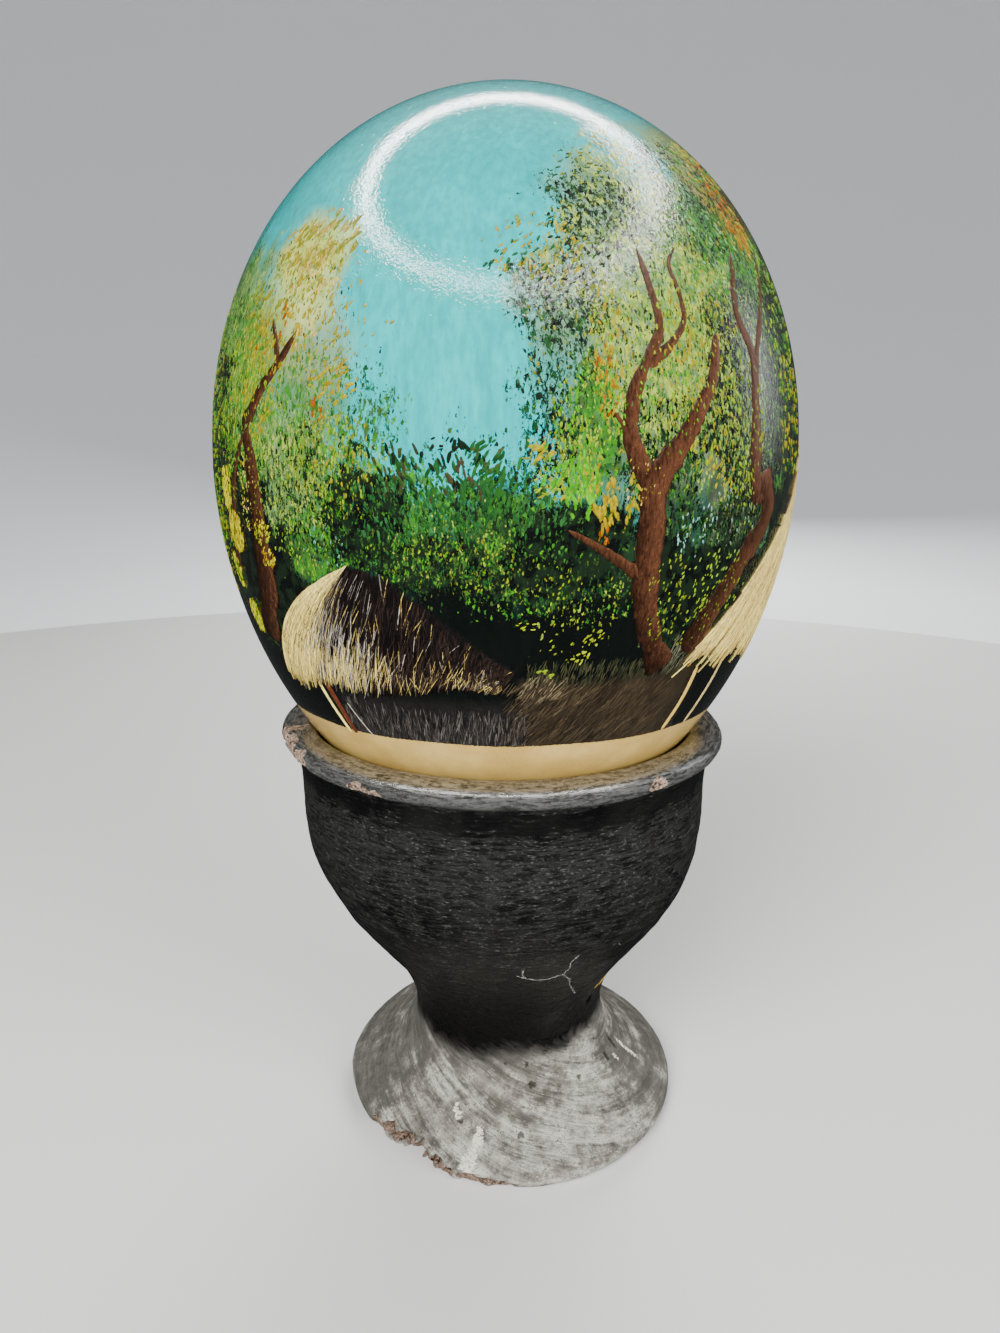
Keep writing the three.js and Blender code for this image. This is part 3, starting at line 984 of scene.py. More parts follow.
# Clusters of single leaf dabs: turn, level, half width and half height of the cluster in mm,
# number of dabs, their length in mm, their lean in degrees, and their colours.
RIGHT_LEAVES = (
    (4, 119, 8, 5.5, 70, 2.0, 60, (OLIVE, OCHRE, DEEP_GREEN)),
    (10, 117, 7, 5, 40, 1.8, 40, (OLIVE, NIGHT_GREEN)),
    (13, 133, 5, 3.5, 26, 2.0, 30, (OLIVE, DEEP_GREEN)),
    (7, 104, 6, 8, 60, 1.5, 100, (NIGHT_GREEN, DEEP_GREEN, OLIVE)),
    (15, 108, 3, 6, 26, 2.0, 85, (YELLOW, LIME, GOLD)),
    (14.6, 99, 2.2, 6, 34, 2.2, 88, (ORANGE, YELLOW, GOLD)),
    (12, 95, 6, 6, 60, 2.0, 95, (BRIGHT_GREEN, LIME)),
    (10, 88, 5, 6, 50, 2.2, 100, (BRIGHT_GREEN, LIME, NIGHT_GREEN)),
    (8.5, 84.5, 3.5, 3, 22, 3.4, 60, (BRIGHT_GREEN,)),
    (5, 88, 2.6, 1.4, 14, 2.6, 30, (YELLOW, OLIVE)),
    (6.5, 82.8, 3, 2.2, 12, 2.2, 30, (LIME, YELLOW)),
    (11, 83, 3, 5, 34, 3.2, 95, (BRIGHT_GREEN, (0.07, 0.30, 0.003))),
    (13.6, 83.5, 2.4, 3, 12, 2.6, 90, (YELLOW, GOLD)),
    (14.6, 79.6, 1.8, 4.0, 22, 3.6, 96, (YELLOW, (0.28, 0.19, 0.0001))),
    (18, 82, 2.6, 4.5, 14, 2.6, 100, (YELLOW, OCHRE)),
    (14.8, 75, 1.6, 1.4, 6, 2.0, 90, (ORANGE,)),
    (20.5, 84, 4, 4, 24, 1.2, 80, (STRAW, OCHRE, YELLOW)),
    (31, 88, 3.5, 3, 14, 2.4, 70, (YELLOW, LIME)),
    (36, 85, 3, 2.2, 10, 2.2, 60, (YELLOW, OCHRE)),
    (24, 96, 7, 8, 60, 1.7, 95, (BRIGHT_GREEN, LEAF_GREEN, LIME)),
    (27, 104, 5, 12, 70, 2.0, 100, (YELLOW, LIME, OCHRE)),
    (35, 103, 6, 14, 90, 2.2, 110, (LIME, OCHRE, OLIVE, SAGE)),
    (37, 121, 10, 8, 100, 1.8, 120, (LEAF_GREEN, SAGE, (0.10, 0.30, 0.12))),
    (52, 131, 4, 8, 60, 3.0, 125, (ORANGE, OCHRE)),
    (47, 138, 9, 5, 60, 2.4, 130, (OLIVE, OCHRE, LEAF_GREEN)),
    (57, 112, 8, 14, 110, 2.2, 105, (LEAF_GREEN, LIME, SAGE)),
    (60, 96, 7, 12, 80, 2.4, 100, (YELLOW, LIME, DEEP_GREEN)),
    (42, 92, 5, 12, 70, 2.0, 105, (LIME, SAGE, OLIVE)),
    (38, 66, 9, 6, 60, 1.6, 70, (LIME, (0.16, 0.26, 0.03))),
    (33, 60, 6, 5, 40, 1.6, 60, (LIME, OLIVE, DEEP_GREEN)),
    (40, 78, 7, 6, 60, 1.5, 100, ((0.10, 0.14, 0.08), (0.12, 0.26, 0.20), NIGHT_GREEN, DEEP_GREEN)),
    (31, 76, 4, 5, 60, 1.6, 80, ((0.16, 0.34, 0.28), DEEP_GREEN, NIGHT_GREEN)),
    (27, 64, 4, 8, 50, 1.6, 75, (LIME, MOSS, OLIVE)),
)
LEFT_LEAVES = (
    (-35, 122, 9, 5, 90, 3.0, 62, (OCHRE, (0.34, 0.26, 0.05), OLIVE)),
    (-33, 113, 6, 8, 70, 2.4, 75, (OCHRE, (0.46, 0.34, 0.09))),
    (-47, 113, 4, 6, 24, 2.6, 60, (OLIVE, OCHRE)),
    (-24, 107.5, 7, 4, 18, 2.0, 50, (OCHRE, OLIVE)),
    (-27, 99, 5, 3.5, 22, 2.6, 30, (OCHRE, YELLOW)),
    (-26, 103.5, 3, 4, 12, 2.0, 80, (YELLOW, OCHRE)),
    (-29.5, 94.6, 2, 2, 7, 2.4, 80, (ORANGE, OCHRE)),
    (-41, 107, 5, 6, 40, 2.4, 70, (OCHRE, ORANGE, OLIVE)),
    (-44, 100, 5, 10, 80, 2.2, 72, (OCHRE, LIME, YELLOW)),
    (-50, 96, 8, 12, 100, 2.0, 75, (LEAF_GREEN, LIME, SAGE)),
    (-35, 96, 8, 6, 60, 1.9, 85, (LEAF_GREEN, LIME, SAGE)),
    (-25, 90, 6, 3.5, 30, 2.2, 80, (OLIVE, LIME)),
    (-26, 83, 7, 5, 60, 1.6, 80, (LIME, OLIVE, YELLOW, LEAF_GREEN)),
    (-36, 78, 10, 8, 110, 1.6, 85, (SAGE, LIME, LEAF_GREEN)),
    (-57, 81, 2.4, 4.0, 60, 2.4, 76, (BRIGHT_YELLOW,)),
    (-55, 73, 3.3, 3.8, 130, 2.4, 72, (BRIGHT_YELLOW, BRIGHT_YELLOW, YELLOW)),
    (-44.5, 73.5, 2.4, 2.4, 40, 2.2, 60, (BRIGHT_YELLOW, BRIGHT_YELLOW, LIME)),
    (-44, 69, 2.2, 1.8, 28, 2.2, 50, (BRIGHT_YELLOW, GOLD)),
    (-48, 81, 4, 7, 60, 1.2, 85, (YELLOW, OCHRE, STRAW, PALE_LIME)),
    (-56, 56, 2.8, 3.2, 70, 2.3, 68, (BRIGHT_YELLOW, BRIGHT_YELLOW, LIME)),
    (-59, 65, 2, 3.4, 40, 2.2, 80, (BRIGHT_YELLOW, LIME)),
    (-60, 84, 8, 14, 110, 2.0, 80, (LEAF_GREEN, LIME, OLIVE)),
    (-66, 104, 8, 14, 90, 2.2, 75, (LEAF_GREEN, SAGE, OLIVE)),
    (-68, 70, 8, 10, 70, 1.8, 75, (DEEP_GREEN, LIME, YELLOW)),
)
MIDDLE_LEAVES = (
    (-18, 85, 4, 4, 24, 2.8, 108, (NIGHT_GREEN, (0.03, 0.04, 0.010))),
    (-12, 84.5, 6, 4.5, 40, 3.2, 106, (NIGHT_GREEN, DEEP_GREEN, (0.03, 0.03, 0.010))),
    (-9, 89, 2.6, 1.6, 8, 2.2, 40, ((0.012, 0.010, 0.005),)),
    (-6, 85, 4, 4.5, 34, 3.2, 108, (NIGHT_GREEN, DEEP_GREEN, (0.04, 0.03, 0.012))),
    (-2.5, 87.6, 3.4, 2.6, 24, 2.6, 50, (DEEP_GREEN, (0.010, 0.070, 0.012), (0.04, 0.05, 0.01))),
    (-1, 83, 5, 4.5, 60, 3.0, 72, ((0.014, 0.080, 0.010), DEEP_GREEN)),
    (-17, 79, 9, 5, 80, 2.4, 100, ((0.012, 0.085, 0.018), DEEP_GREEN, (0.02, 0.10, 0.03))),
    (-6, 79, 9, 4, 70, 2.4, 92, ((0.014, 0.070, 0.010), DEEP_GREEN)),
    (5, 79, 5, 4, 40, 2.4, 80, (DEEP_GREEN, (0.02, 0.09, 0.02))),
    (-6, 72, 18, 4, 90, 1.6, 85, (MOSS, LEAF_GREEN, DEEP_GREEN)),
    (-14, 71.5, 9, 3, 20, 1.3, 80, (LIME, BRIGHT_GREEN)),
    (-5, 69.5, 8, 3.4, 20, 1.3, 80, (LIME, OLIVE)),
    (4, 68, 8, 4, 20, 1.4, 80, (LIME, OLIVE)),
    (12, 64, 7, 6, 26, 1.3, 80, (LIME, OLIVE)),
    (10, 57, 5, 4, 10, 1.4, 60, (LIME, OLIVE)),
    (15, 57.5, 1.8, 1.3, 9, 1.8, 50, ((0.24, 0.29, 0.004),)),
    (13, 54, 1.6, 1.2, 7, 1.8, 40, ((0.28, 0.34, 0.004),)),
    (7, 50.5, 1.4, 1, 5, 2.0, 40, (LIME,)),
    (4, 60, 2.0, 1.0, 5, 1.6, 30, ((0.28, 0.34, 0.004),)),
    (-29, 72, 5, 3.5, 26, 1.6, 80, ((0.02, 0.10, 0.04), (0.08, 0.28, 0.20))),
)


# Small dabs are laid finer and closer together than large ones: the length in mm up to which a row
# of the tables counts as small, how many times its number is laid, and what part of its length.
SMALL_DAB, SMALL_NUMBER, SMALL_LENGTH, LARGE_LENGTH = 2.5, 1.6, 0.58, 0.8
DAB_THICKNESS = 0.10 * MM
DAB_SPOKES = 9


def build_leaves(name, groups, seed):
    """Single dabs of leaf colour, each a low closed blob with an uneven outline."""
    rng = np.random.default_rng(seed)
    groups = [(*oval, round(number * SMALL_NUMBER) if size <= SMALL_DAB else number, size, slant, colours)
              for *oval, number, size, slant, colours in groups]
    count = sum(group[4] for group in groups)
    turn, level, length, lean = (np.empty(count) for column in range(4))
    pigment = np.empty((count, 3))
    start = 0
    for centre, height, half_width, half_height, number, size, slant, colours in groups:
        part = slice(start, start + number)
        start += number
        reach, way = np.sqrt(rng.uniform(0, 1.1, number)), rng.uniform(0, 2 * math.pi, number)
        level[part] = height + half_height * reach * np.sin(way)
        turn[part] = centre + half_width * reach * np.cos(way) / mm_per_degree(height)
        scale = SMALL_LENGTH if size <= SMALL_DAB else LARGE_LENGTH
        length[part] = scale * size * rng.uniform(0.5, 1.25, number)
        lean[part] = slant + rng.normal(0, 16, number)
        pigment[part] = np.array(colours)[rng.integers(0, len(colours), number)]
    pigment *= rng.uniform(0.75, 1.2, (count, 1))

    spokes = DAB_SPOKES
    way = np.linspace(0, 2 * math.pi, spokes, endpoint=False) + rng.uniform(0, 0.5, (count, spokes))
    uneven = rng.uniform(0.7, 1.15, (count, spokes))
    long_side = length[:, None] / 2 * uneven * np.cos(way)
    slim = np.where(length > 1.8, 0.62, 0.85)[:, None]
    short_side = length[:, None] * slim * rng.uniform(0.15, 0.32, (count, 1)) * uneven * np.sin(way)
    slant = np.radians(lean)[:, None]
    across = long_side * np.cos(slant) - short_side * np.sin(slant)
    up = long_side * np.sin(slant) + short_side * np.cos(slant)
    angle = angle_at_level(level)[:, None]
    per_degree, per_radian = shell_scale(angle)

    def ring(size, lift):
        scale = size * MM
        return on_shell(turn[:, None] + scale * across / per_degree, angle + scale * up / per_radian, lift)

    thick = DAB_THICKNESS
    top = on_shell(turn[:, None], angle, thick)
    under = on_shell(turn[:, None], angle, -thick)
    vertices = np.concatenate([ring(1.0, -0.4 * thick), ring(0.8, 0.7 * thick), top, under], axis=1)
    each = 2 * spokes + 2
    first = np.arange(count)[:, None] * each
    spoke = np.arange(spokes)[None]
    after = (spoke + 1) % spokes
    quads = np.stack([first + spoke, first + after, first + spokes + after, first + spokes + spoke], axis=-1)
    crown = first + 2 * spokes + np.zeros_like(spoke)
    tops = np.stack([first + spokes + spoke, first + spokes + after, crown], axis=-1)
    unders = np.stack([first + after, first + spoke, crown + 1], axis=-1)
    faces = [*quads.reshape(-1, 4), *tops.reshape(-1, 3), *unders.reshape(-1, 3)]
    piece = make_mesh(name, vertices.reshape(-1, 3), faces, raised_paint(name + "_paint", 1.6, 0.3))
    put_field(piece, "pigment", np.repeat(pigment, each, axis=0))
    return piece


# ---------------------------------------------------------------------------------------------
# The clay goblet
# ---------------------------------------------------------------------------------------------
RIM_RADIUS, RIM_EDGE, CREST_RADIUS, MOUTH_RADIUS = 52.7, 2.4, 48.6, 44.8
BOWL_RADIUS, BOWL_WALL, SHOULDER = 48.9, 7.0, 80.0
CONE_RADIUS, CONE_HEIGHT, WELL_FLOOR = 33.5, 45.5, 38.0
NECK_RADIUS, NECK_HEIGHT = 24.6, 26.0
FOOT_RADIUS, FOOT_EDGE, RING_WIDTH, FOOT_HOLLOW = 42.7, 2.8, 7.0, 15.0
RIM_TOP = RIM_HEIGHT / MM

# Chips and pits: turn, height, half width, half height and depth in mm.
CHIPS = (
    (-72, 101.2, 3.4, 2.0, 0.5), (-64, 100.8, 4.6, 2.3, 0.7), (-55, 100.2, 3.4, 1.9, 0.6),
    (-33, 99.6, 2.8, 1.5, 0.9), (-29, 99.2, 1.8, 1.1, 0.6), (37, 100.0, 2.6, 1.7, 0.9),
    (128, 99.5, 3.2, 1.5, 0.8), (201, 100.5, 2.6, 1.2, 0.6), (248, 99.0, 2.0, 1.1, 0.6),
    (-52, 2.4, 4.0, 2.0, 1.2), (-45, 2.6, 4.2, 2.6, 2.4), (-38, 2.4, 4.6, 3.2, 3.8), (-31, 2.6, 4.4, 2.8, 2.4),
    (-24, 2.2, 3.6, 2.2, 1.6), (-12, 1.8, 4.2, 1.8, 1.1), (-3, 1.6, 3.6, 1.5, 0.8), (96, 1.8, 3.6, 1.8, 1.2),
    (173, 2.0, 4.6, 2.2, 1.5), (226, 1.6, 3.2, 1.6, 1.0),
    (50, 33.0, 0.9, 1.0, 0.9), (12, 15.6, 1.3, 0.8, 0.7), (38, 14.5, 0.7, 0.6, 0.5), (-2, 20.5, 0.5, 0.5, 0.3),
    (10, 20, 0.5, 0.6, 0.4), (-21, 9.6, 1.1, 0.6, 0.5), (4, 8.4, 1.0, 0.6, 0.5), (58, 19, 0.5, 0.4, 0.3),
    (61, 14, 0.8, 1.2, 0.3), (72, 14, 0.5, 1.6, 0.3), (40, 86, 1.0, 1.6, 0.4), (-60, 84, 0.9, 0.7, 0.3),
)
LARGEST_PIT = 1.4
KNOB, KNOB_HEIGHT = (37, 7.2, 1.3, 1.0), 0.8
# Pale scuffs: turn, height, half width and half height in mm.
SCUFFS = (
    (-12, 7.8, 1.3, 2.2), (-14, 5.4, 2.2, 1.6), (77, 11.4, 0.7, 2.6), (66, 12.5, 0.6, 0.8), (52, 16, 0.4, 0.4),
    (-22, 10.2, 1.0, 0.8),
    (35, 60, 0.35, 0.3), (20, 62, 0.3, 0.25), (-24, 11, 0.9, 0.7), (140, 9, 1.6, 1.8), (214, 14, 1.0, 1.4),
    (290, 66, 0.5, 0.4),
)
# Brown stains on the foot, in the same way.
STAINS = (
    (2, 17, 13, 3.6), (-8, 12, 12, 2.6), (-48, 16, 6, 7), (-30, 9, 7, 3), (-60, 6, 6, 4), (70, 15, 3, 5),
    (18, 4, 16, 1.0), (120, 12, 12, 5), (180, 8, 10, 4), (235, 16, 9, 6),
)
# Spots of ochre slip: turn, height, half width and half height in mm.
OCHRE_SPOTS = ((58, 38.5, 2.6, 3.2), (53, 36.6, 1.0, 0.6), (187, 31, 2.0, 2.0))
# Hairline cracks: points of turn and height.
CRACKS = (
    [(3, 54.6), (6, 53.6), (9.5, 52.6), (13.5, 52.4), (16.5, 53.2), (18.5, 53.6)],
    [(18.5, 53.6), (19.6, 56.2), (19.2, 58.4), (21, 60.6)],
    [(18.5, 53.6), (22, 50.4), (24.4, 47.0), (29, 43.0), (32, 40.4)],
    [(6, 53.6), (5.2, 54.8), (4.8, 57.0)],
)


def bowl_curves():
    """Curves of radius and height in mm: up the outside to the crest of the rim, and down inside."""
    edge_height = RIM_TOP - RIM_EDGE
    inner = BOWL_RADIUS - BOWL_WALL
    edge = arc((RIM_RADIUS - RIM_EDGE, edge_height), RIM_EDGE, -90, 25)
    crest, cone, shoulder = (CREST_RADIUS, RIM_TOP), (CONE_RADIUS, CONE_HEIGHT), (BOWL_RADIUS, SHOULDER)
    outside = [
        bezier((NECK_RADIUS, NECK_HEIGHT), (NECK_RADIUS + 1.6, 36), (CONE_RADIUS - 3, CONE_HEIGHT - 4), cone),
        bezier(cone, (CONE_RADIUS + 8, 56), (BOWL_RADIUS - 0.6, 66), shoulder),
        bezier(shoulder, (BOWL_RADIUS, 88), (BOWL_RADIUS, edge_height - RIM_EDGE - 0.6), edge[0]),
        edge,
        bezier(edge[-1], edge[-1] + (-0.4, 0.9), (CREST_RADIUS + 1.8, RIM_TOP), crest),
    ]
    inside = [
        [crest, (MOUTH_RADIUS + RIM_EDGE, RIM_TOP)],
        arc((MOUTH_RADIUS + RIM_EDGE, edge_height), RIM_EDGE, 90, 180),
        bezier((MOUTH_RADIUS, edge_height), (inner + 0.6, 94), (inner, 88), (inner, SHOULDER)),
        bezier((inner, SHOULDER), (inner - 0.5, 60), (22, WELL_FLOOR), (0, WELL_FLOOR)),
    ]
    return outside, inside


def foot_curves():
    """Curves of radius and height in mm: the hollow underneath, and the outside up to the neck."""
    edge = FOOT_RADIUS - FOOT_EDGE
    ring = edge - RING_WIDTH
    turned = arc((edge, FOOT_EDGE), FOOT_EDGE, -90, 60)
    underneath = [bezier((0, FOOT_HOLLOW), (16, FOOT_HOLLOW), (ring - 3, 6.5), (ring, 0)),
                  [(ring, 0), (edge, 0)]]
    outside = [turned, bezier(turned[-1], (30, 10.5), (NECK_RADIUS - 0.2, 16), (NECK_RADIUS, NECK_HEIGHT))]
    return underneath, outside


bowl_outside, bowl_inside = bowl_curves()
foot_underneath, foot_outside = foot_curves()
goblet_outside = np.concatenate(foot_outside + bowl_outside)


def outer_radius(height):
    """The goblet's outside radius at a height, both in mm."""
    return np.interp(height, goblet_outside[:, 1], goblet_outside[:, 0])


def near_spots(points, spots, ragged):
    """How far each point is inside any of some spots on the outside, from 0 to 1."""
    turn, radius, height = polar(points)
    outside = soft_step(radius - outer_radius(height), -4.5, -3.0)
    total = np.zeros(len(points))
    for centre, level, half_width, half_height in spots:
        way = np.radians(degrees_apart(np.degrees(turn), centre))
        across = way * outer_radius(level) / half_width
        away = np.hypot(across, (height - level) / half_height)
        total = np.maximum(total, soft_step(1.25 - away + ragged, 0, 0.5))
    return total * outside


def wiped_place(points):
    """A place that hardly changes along the marks of the potter's hand: they run level on the bowl
    and slant down the foot."""
    turn, radius, height = polar(points)
    slant = 17 * np.sin(turn + 0.2) * soft_step(height, 36, 22)
    across = (height - 0.6 * radius + slant + 0.8 * noise(points, 9 * MM, 60)) * MM
    return np.stack([0.12 * points[:, 0], 0.12 * points[:, 1], across], axis=1)


def weathered(points):
    """Hand-made unevenness of the clay: the moved points, and how chipped and pitted each one is."""
    radius, height = polar(points)[1:]
    flat = points * [1, 1, 0]
    near_lip = soft_step(height, 94, 99) * soft_step(radius, 48.6, 46.5)
    standing = soft_step(height, 3, 0.2)
    wobble = 0.5 * noise(points, 42 * MM, 31) + 0.20 * noise(points, 13 * MM, 32)
    wiped = wiped_place(points)
    wiping = 0.12 * noise(wiped, 2.6 * MM, 33) + 0.07 * noise(wiped, 1.3 * MM, 34)
    grit = 0.07 * noise(points, 3.2 * MM, 35) + 0.04 * noise(points, 1.6 * MM, 36)
    furrows = 0.30 * noise(wiped, 4.2 * MM, 62) * soft_step(height, 27, 18) * (1 - standing)
    outward = (wobble + wiping + grit + furrows) * (1 - 0.85 * near_lip)
    outward += 0.9 * noise(flat, 30 * MM, 36) * soft_step(radius, 36, 42) * soft_step(height, 14, 6)
    ragged = 0.28 * noise(points, 2.2 * MM, 37) + 0.2 * noise(points, 1.1 * MM, 38)
    chipped, pitted = np.zeros((2, len(points)))
    broken = 1 + 0.35 * noise(points, 1.4 * MM, 39)
    for *chip, depth in CHIPS:
        one = near_spots(points, (chip,), ragged)
        outward -= depth * one * broken
        kind = chipped if chip[2] > LARGEST_PIT else pitted
        np.maximum(kind, one, out=kind)
    outward += KNOB_HEIGHT * near_spots(points, (KNOB,), 0)
    sink = 0.3 * (1 + noise(flat, 34 * MM, 40)) * soft_step(height, 88, 101)
    sink += 0.06 * noise(points, 5 * MM, 41)
    sink *= 1 - standing
    lean = FOOT_SHIFT * (1 - height / RIM_TOP)
    direction = flat / np.maximum(np.linalg.norm(flat, axis=1, keepdims=True), 1e-9)
    moved_points = points + direction * (outward * MM * soft_step(radius, 2, 8))[:, None]
    moved_points[:, 0] += lean
    moved_points[:, 2] -= sink * MM
    moved_points[:, 2] = np.maximum(moved_points[:, 2], FLOOR)
    return moved_points, chipped, pitted


def on_goblet(turns, heights, lift=0.0):
    """Points on the goblet's outside at turns in degrees and heights in mm."""
    points = around_axis(np.radians(turns), outer_radius(heights) * MM + lift, heights * MM)
    return weathered(points.reshape(-1, 3))[0].reshape(points.shape)


def clay_paint(name):
    """Smoke-black burnished clay with rubbed graphite, dusty grey on the foot, raw where chipped; painted
    shade on the neck, under the rim and on the foot, and a painted highlight on the rim's crest.
    """
    look = Look(name, IOR=1.3)
    dust_and_foot_shade, graphite_and_painted_light, neck_shade = look.field("dust_and_foot_shade"), look.field("graphite_and_painted_light"), look.field("neck")
    wiped = look.field("wiped", vector=True)
    streaks = look.noise(0.55 * MM, 5.0, 0.72, wiped, 0.3)
    scratches = look.noise(0.40 * MM, 4.0, 0.75, look.scaled((0.4, 0.4, 1.0), tilt=(0.25, -0.35, 0)), 0.5)
    sweeps = look.noise(2.6 * MM, 4.0, 0.65, wiped, 0.4)
    cloud = look.noise(15 * MM, 4.0, 0.6)
    blotch = look.noise(4.0 * MM, 6.0, 0.72)
    speckle = look.noise(0.6 * MM, 3.0, 0.75)

    # Burnished black: smoky clouds, fine scratches, and graphite rubbed along the strokes. The graphite is
    # brightest along the rim's crest, partly wear and partly a painted highlight, and the groove under the rim
    # and the bottom of the bowl get less of it, as painted shade.
    rubbed = streaks * 0.68 + blotch * 0.36 + graphite_and_painted_light * 0.08
    fine = scratches.step(0.55, 0.64) * rubbed.step(0.46, 0.62)
    graphite = look.math("MAXIMUM", rubbed.step(0.50, 0.76) * 0.9, graphite_and_painted_light.step(0.45, 0.75, 0.0, 0.85))
    mottled = scratches * 0.45 + streaks * 0.55
    # A painted highlight along the rim's crest, broken up by worn streaks, makes the brightest silver.
    crest_highlight_and_wear = mottled.step(0.40, 0.58) * graphite_and_painted_light.step(0.4, 1.3)
    silver = look.layered((0.036, 0.036, 0.034), (graphite_and_painted_light.step(0.5, 0.9), (0.078, 0.078, 0.073)),
                          (crest_highlight_and_wear, (0.46, 0.46, 0.44)))
    # The black's last coat is painted shade, darkening the neck and the bottom of the bowl.
    black = look.layered(
        (0.0026, 0.0026, 0.0028), (cloud.step(0.38, 0.66), (0.0075, 0.0075, 0.0070)),
        (rubbed.step(0.46, 0.70), (0.019, 0.019, 0.0175)), (fine * 0.8, (0.14, 0.14, 0.13)),
        (graphite, silver), (neck_shade * 0.94, (0.0015, 0.0015, 0.0018)))

    # Dusty grey of the foot, with wiping marks, brown stains and dark grains, darkened as painted shade at its
    # top under the bowl and on its sides turned away from the front.
    patchy = sweeps * 0.45 + blotch * 0.55
    stain = look.field("stain") + (blotch * 3.6 - 1.9)
    pale = streaks.step(0.47, 0.36) * scratches.step(0.50, 0.60)
    grains = speckle.step(0.55, 0.64) * blotch.step(0.60, 0.42)
    # Painted shade on the sides of the foot turned away from the front.
    side_shade_mask = look.field("painted_side_shade") + (patchy * 4.0 - 2.0)
    grey = look.layered(
        (0.50, 0.49, 0.42), (patchy.step(0.38, 0.60), (0.145, 0.136, 0.116)),
        (patchy.step(0.54, 0.66), (0.064, 0.055, 0.047)),
        (stain.step(0.0, 1.0) * 0.5, (0.100, 0.085, 0.068)),
        (streaks.step(0.54, 0.68) * 0.62, (0.062, 0.055, 0.048)),
        (pale * 0.85, (0.58, 0.56, 0.48)),
        (grains * 0.85, (0.045, 0.037, 0.032)),
        # Painted shade darkening the top of the foot under the bowl.
        (dust_and_foot_shade.step(0.95, 0.35) * 0.9, (0.040, 0.036, 0.033)),
        # Painted shade on the sides turned away from the front.
        (side_shade_mask.step(0.1, 0.9) * 0.8, (0.074, 0.070, 0.062)))

    # Raw clay where it is broken, dark pits, white scuffs and ochre slip.
    dusty = (dust_and_foot_shade + (blotch * 0.75 + (streaks * 0.75 - 0.75))).step(0.22, 0.58)
    broken = (look.field("chipped") + (speckle * 1.6 - 0.8)).step(0.42, 0.58)
    crumbs = look.noise(1.4 * MM, 4.0, 0.7)
    raw = look.layered((0.16, 0.098, 0.066), (speckle.step(0.42, 0.60), (0.44, 0.33, 0.25)),
                       (crumbs.step(0.52, 0.62), (0.030, 0.020, 0.016)))
    pitted = look.field("pitted") + (speckle * 0.8 - 0.4)
    scuff = look.field("scuff")
    white = scuff + (scratches * 4.0 - 2.1)
    ochre = look.field("ochre") + (speckle - 0.5)
    look.set("Base Color", look.layered(
        black, (dusty, grey), (broken, raw), (pitted.step(0.4, 0.9) * 0.75, (0.016, 0.011, 0.009)),
        (white.step(0.62, 0.82) * scuff.step(0.1, 0.4), (0.78, 0.74, 0.61)),
        (ochre.step(0.5, 0.6), (0.40, 0.26, 0.04))))

    clean = (1.0 - neck_shade) * (1.0 - dusty) * (1.0 - broken)
    look.set("Metallic", graphite * clean * 0.9)
    polish = (streaks + (cloud * 0.5 - 0.25)).step(0.3, 0.7, 0.2, 0.48) - graphite_and_painted_light.step(0.4, 1.2) * 0.1
    look.set("Roughness", polish + look.math("MAXIMUM", dusty, broken) * 0.38)
    height = streaks * 0.9 + speckle * 0.35 + (blotch + sweeps) * 1.2 + speckle * broken * 2.0
    look.bump(height * (dusty * 0.9 + (1.0 - graphite_and_painted_light.step(0.4, 0.9) * 0.75)), 0.30 * MM)
    return look.material


def build_clay(name, curves, look_name):
    """One weathered piece of the goblet."""
    columns = 420
    outline = even_outline(curves, 0.72) * MM
    points, turn = revolve_points(outline, columns)[:2]
    uneven, chipped, pitted = weathered(points)
    piece = make_mesh(name, uneven, revolve_faces(len(outline) - 2, columns), clay_paint(look_name))
    piece.data.set_sharp_from_angle(angle=math.radians(50))
    radius, height = polar(points)[1:]
    front = np.abs(degrees_apart(np.degrees(turn), 0))
    well = (radius < MOUTH_RADIUS + 0.3) & (radius < outer_radius(height) - 3) & (height > WELL_FLOOR - 0.5)
    # Dust low on the foot; where it fades towards the neck, it also darkens the grey there as painted shade
    # under the bowl.
    dust_and_foot_shade = soft_step(31.5 - np.cos(turn) + 2.6 * noise(points, 9 * MM, 51) - height, 0, 17)
    # Graphite over the rim and the upper bowl, highest along the crest, where its bright silver is a painted
    # highlight; the groove under the rim and the bottom of the bowl get less of it, as painted shade.
    groove = soft_step(height, 97.6, 96.4) * soft_step(height, 90, 94.5)
    on_rim = soft_step(height, 97.8, 99.6)
    graphite_and_painted_light = (0.55 + soft_step(np.abs(radius - CREST_RADIUS), 2.4, 0.8)) * on_rim - 1.6 * groove
    graphite_and_painted_light += 0.5 * soft_step(height, 62, 80) - 0.6 * soft_step(height, 66, 44)
    wiped = wiped_place(points)
    ragged = 0.3 * noise(points, 1.2 * MM, 52)
    fields = {
        "dust_and_foot_shade": np.where(well, 0.3, dust_and_foot_shade),
        "graphite_and_painted_light": np.where(well, -0.5, graphite_and_painted_light),
        # Painted shade on the neck and the bottom of the bowl, fading out by 56 mm up.
        "neck": soft_step(height, 56, 38),
        # Painted shade on the foot's sides turned away from the front.
        "painted_side_shade": soft_step(front, 34, 74) + 0.35 * noise(points, 16 * MM, 54),
        "wiped": wiped,
        "chipped": chipped,
        "pitted": pitted,
        "scuff": near_spots(points, SCUFFS, ragged),
        "ochre": near_spots(points, OCHRE_SPOTS, ragged),
        "stain": near_spots(points, STAINS, 0.5 * noise(wiped, 3 * MM, 53)),
    }
    for field, values in fields.items():
        put_field(piece, field, values)
    return piece


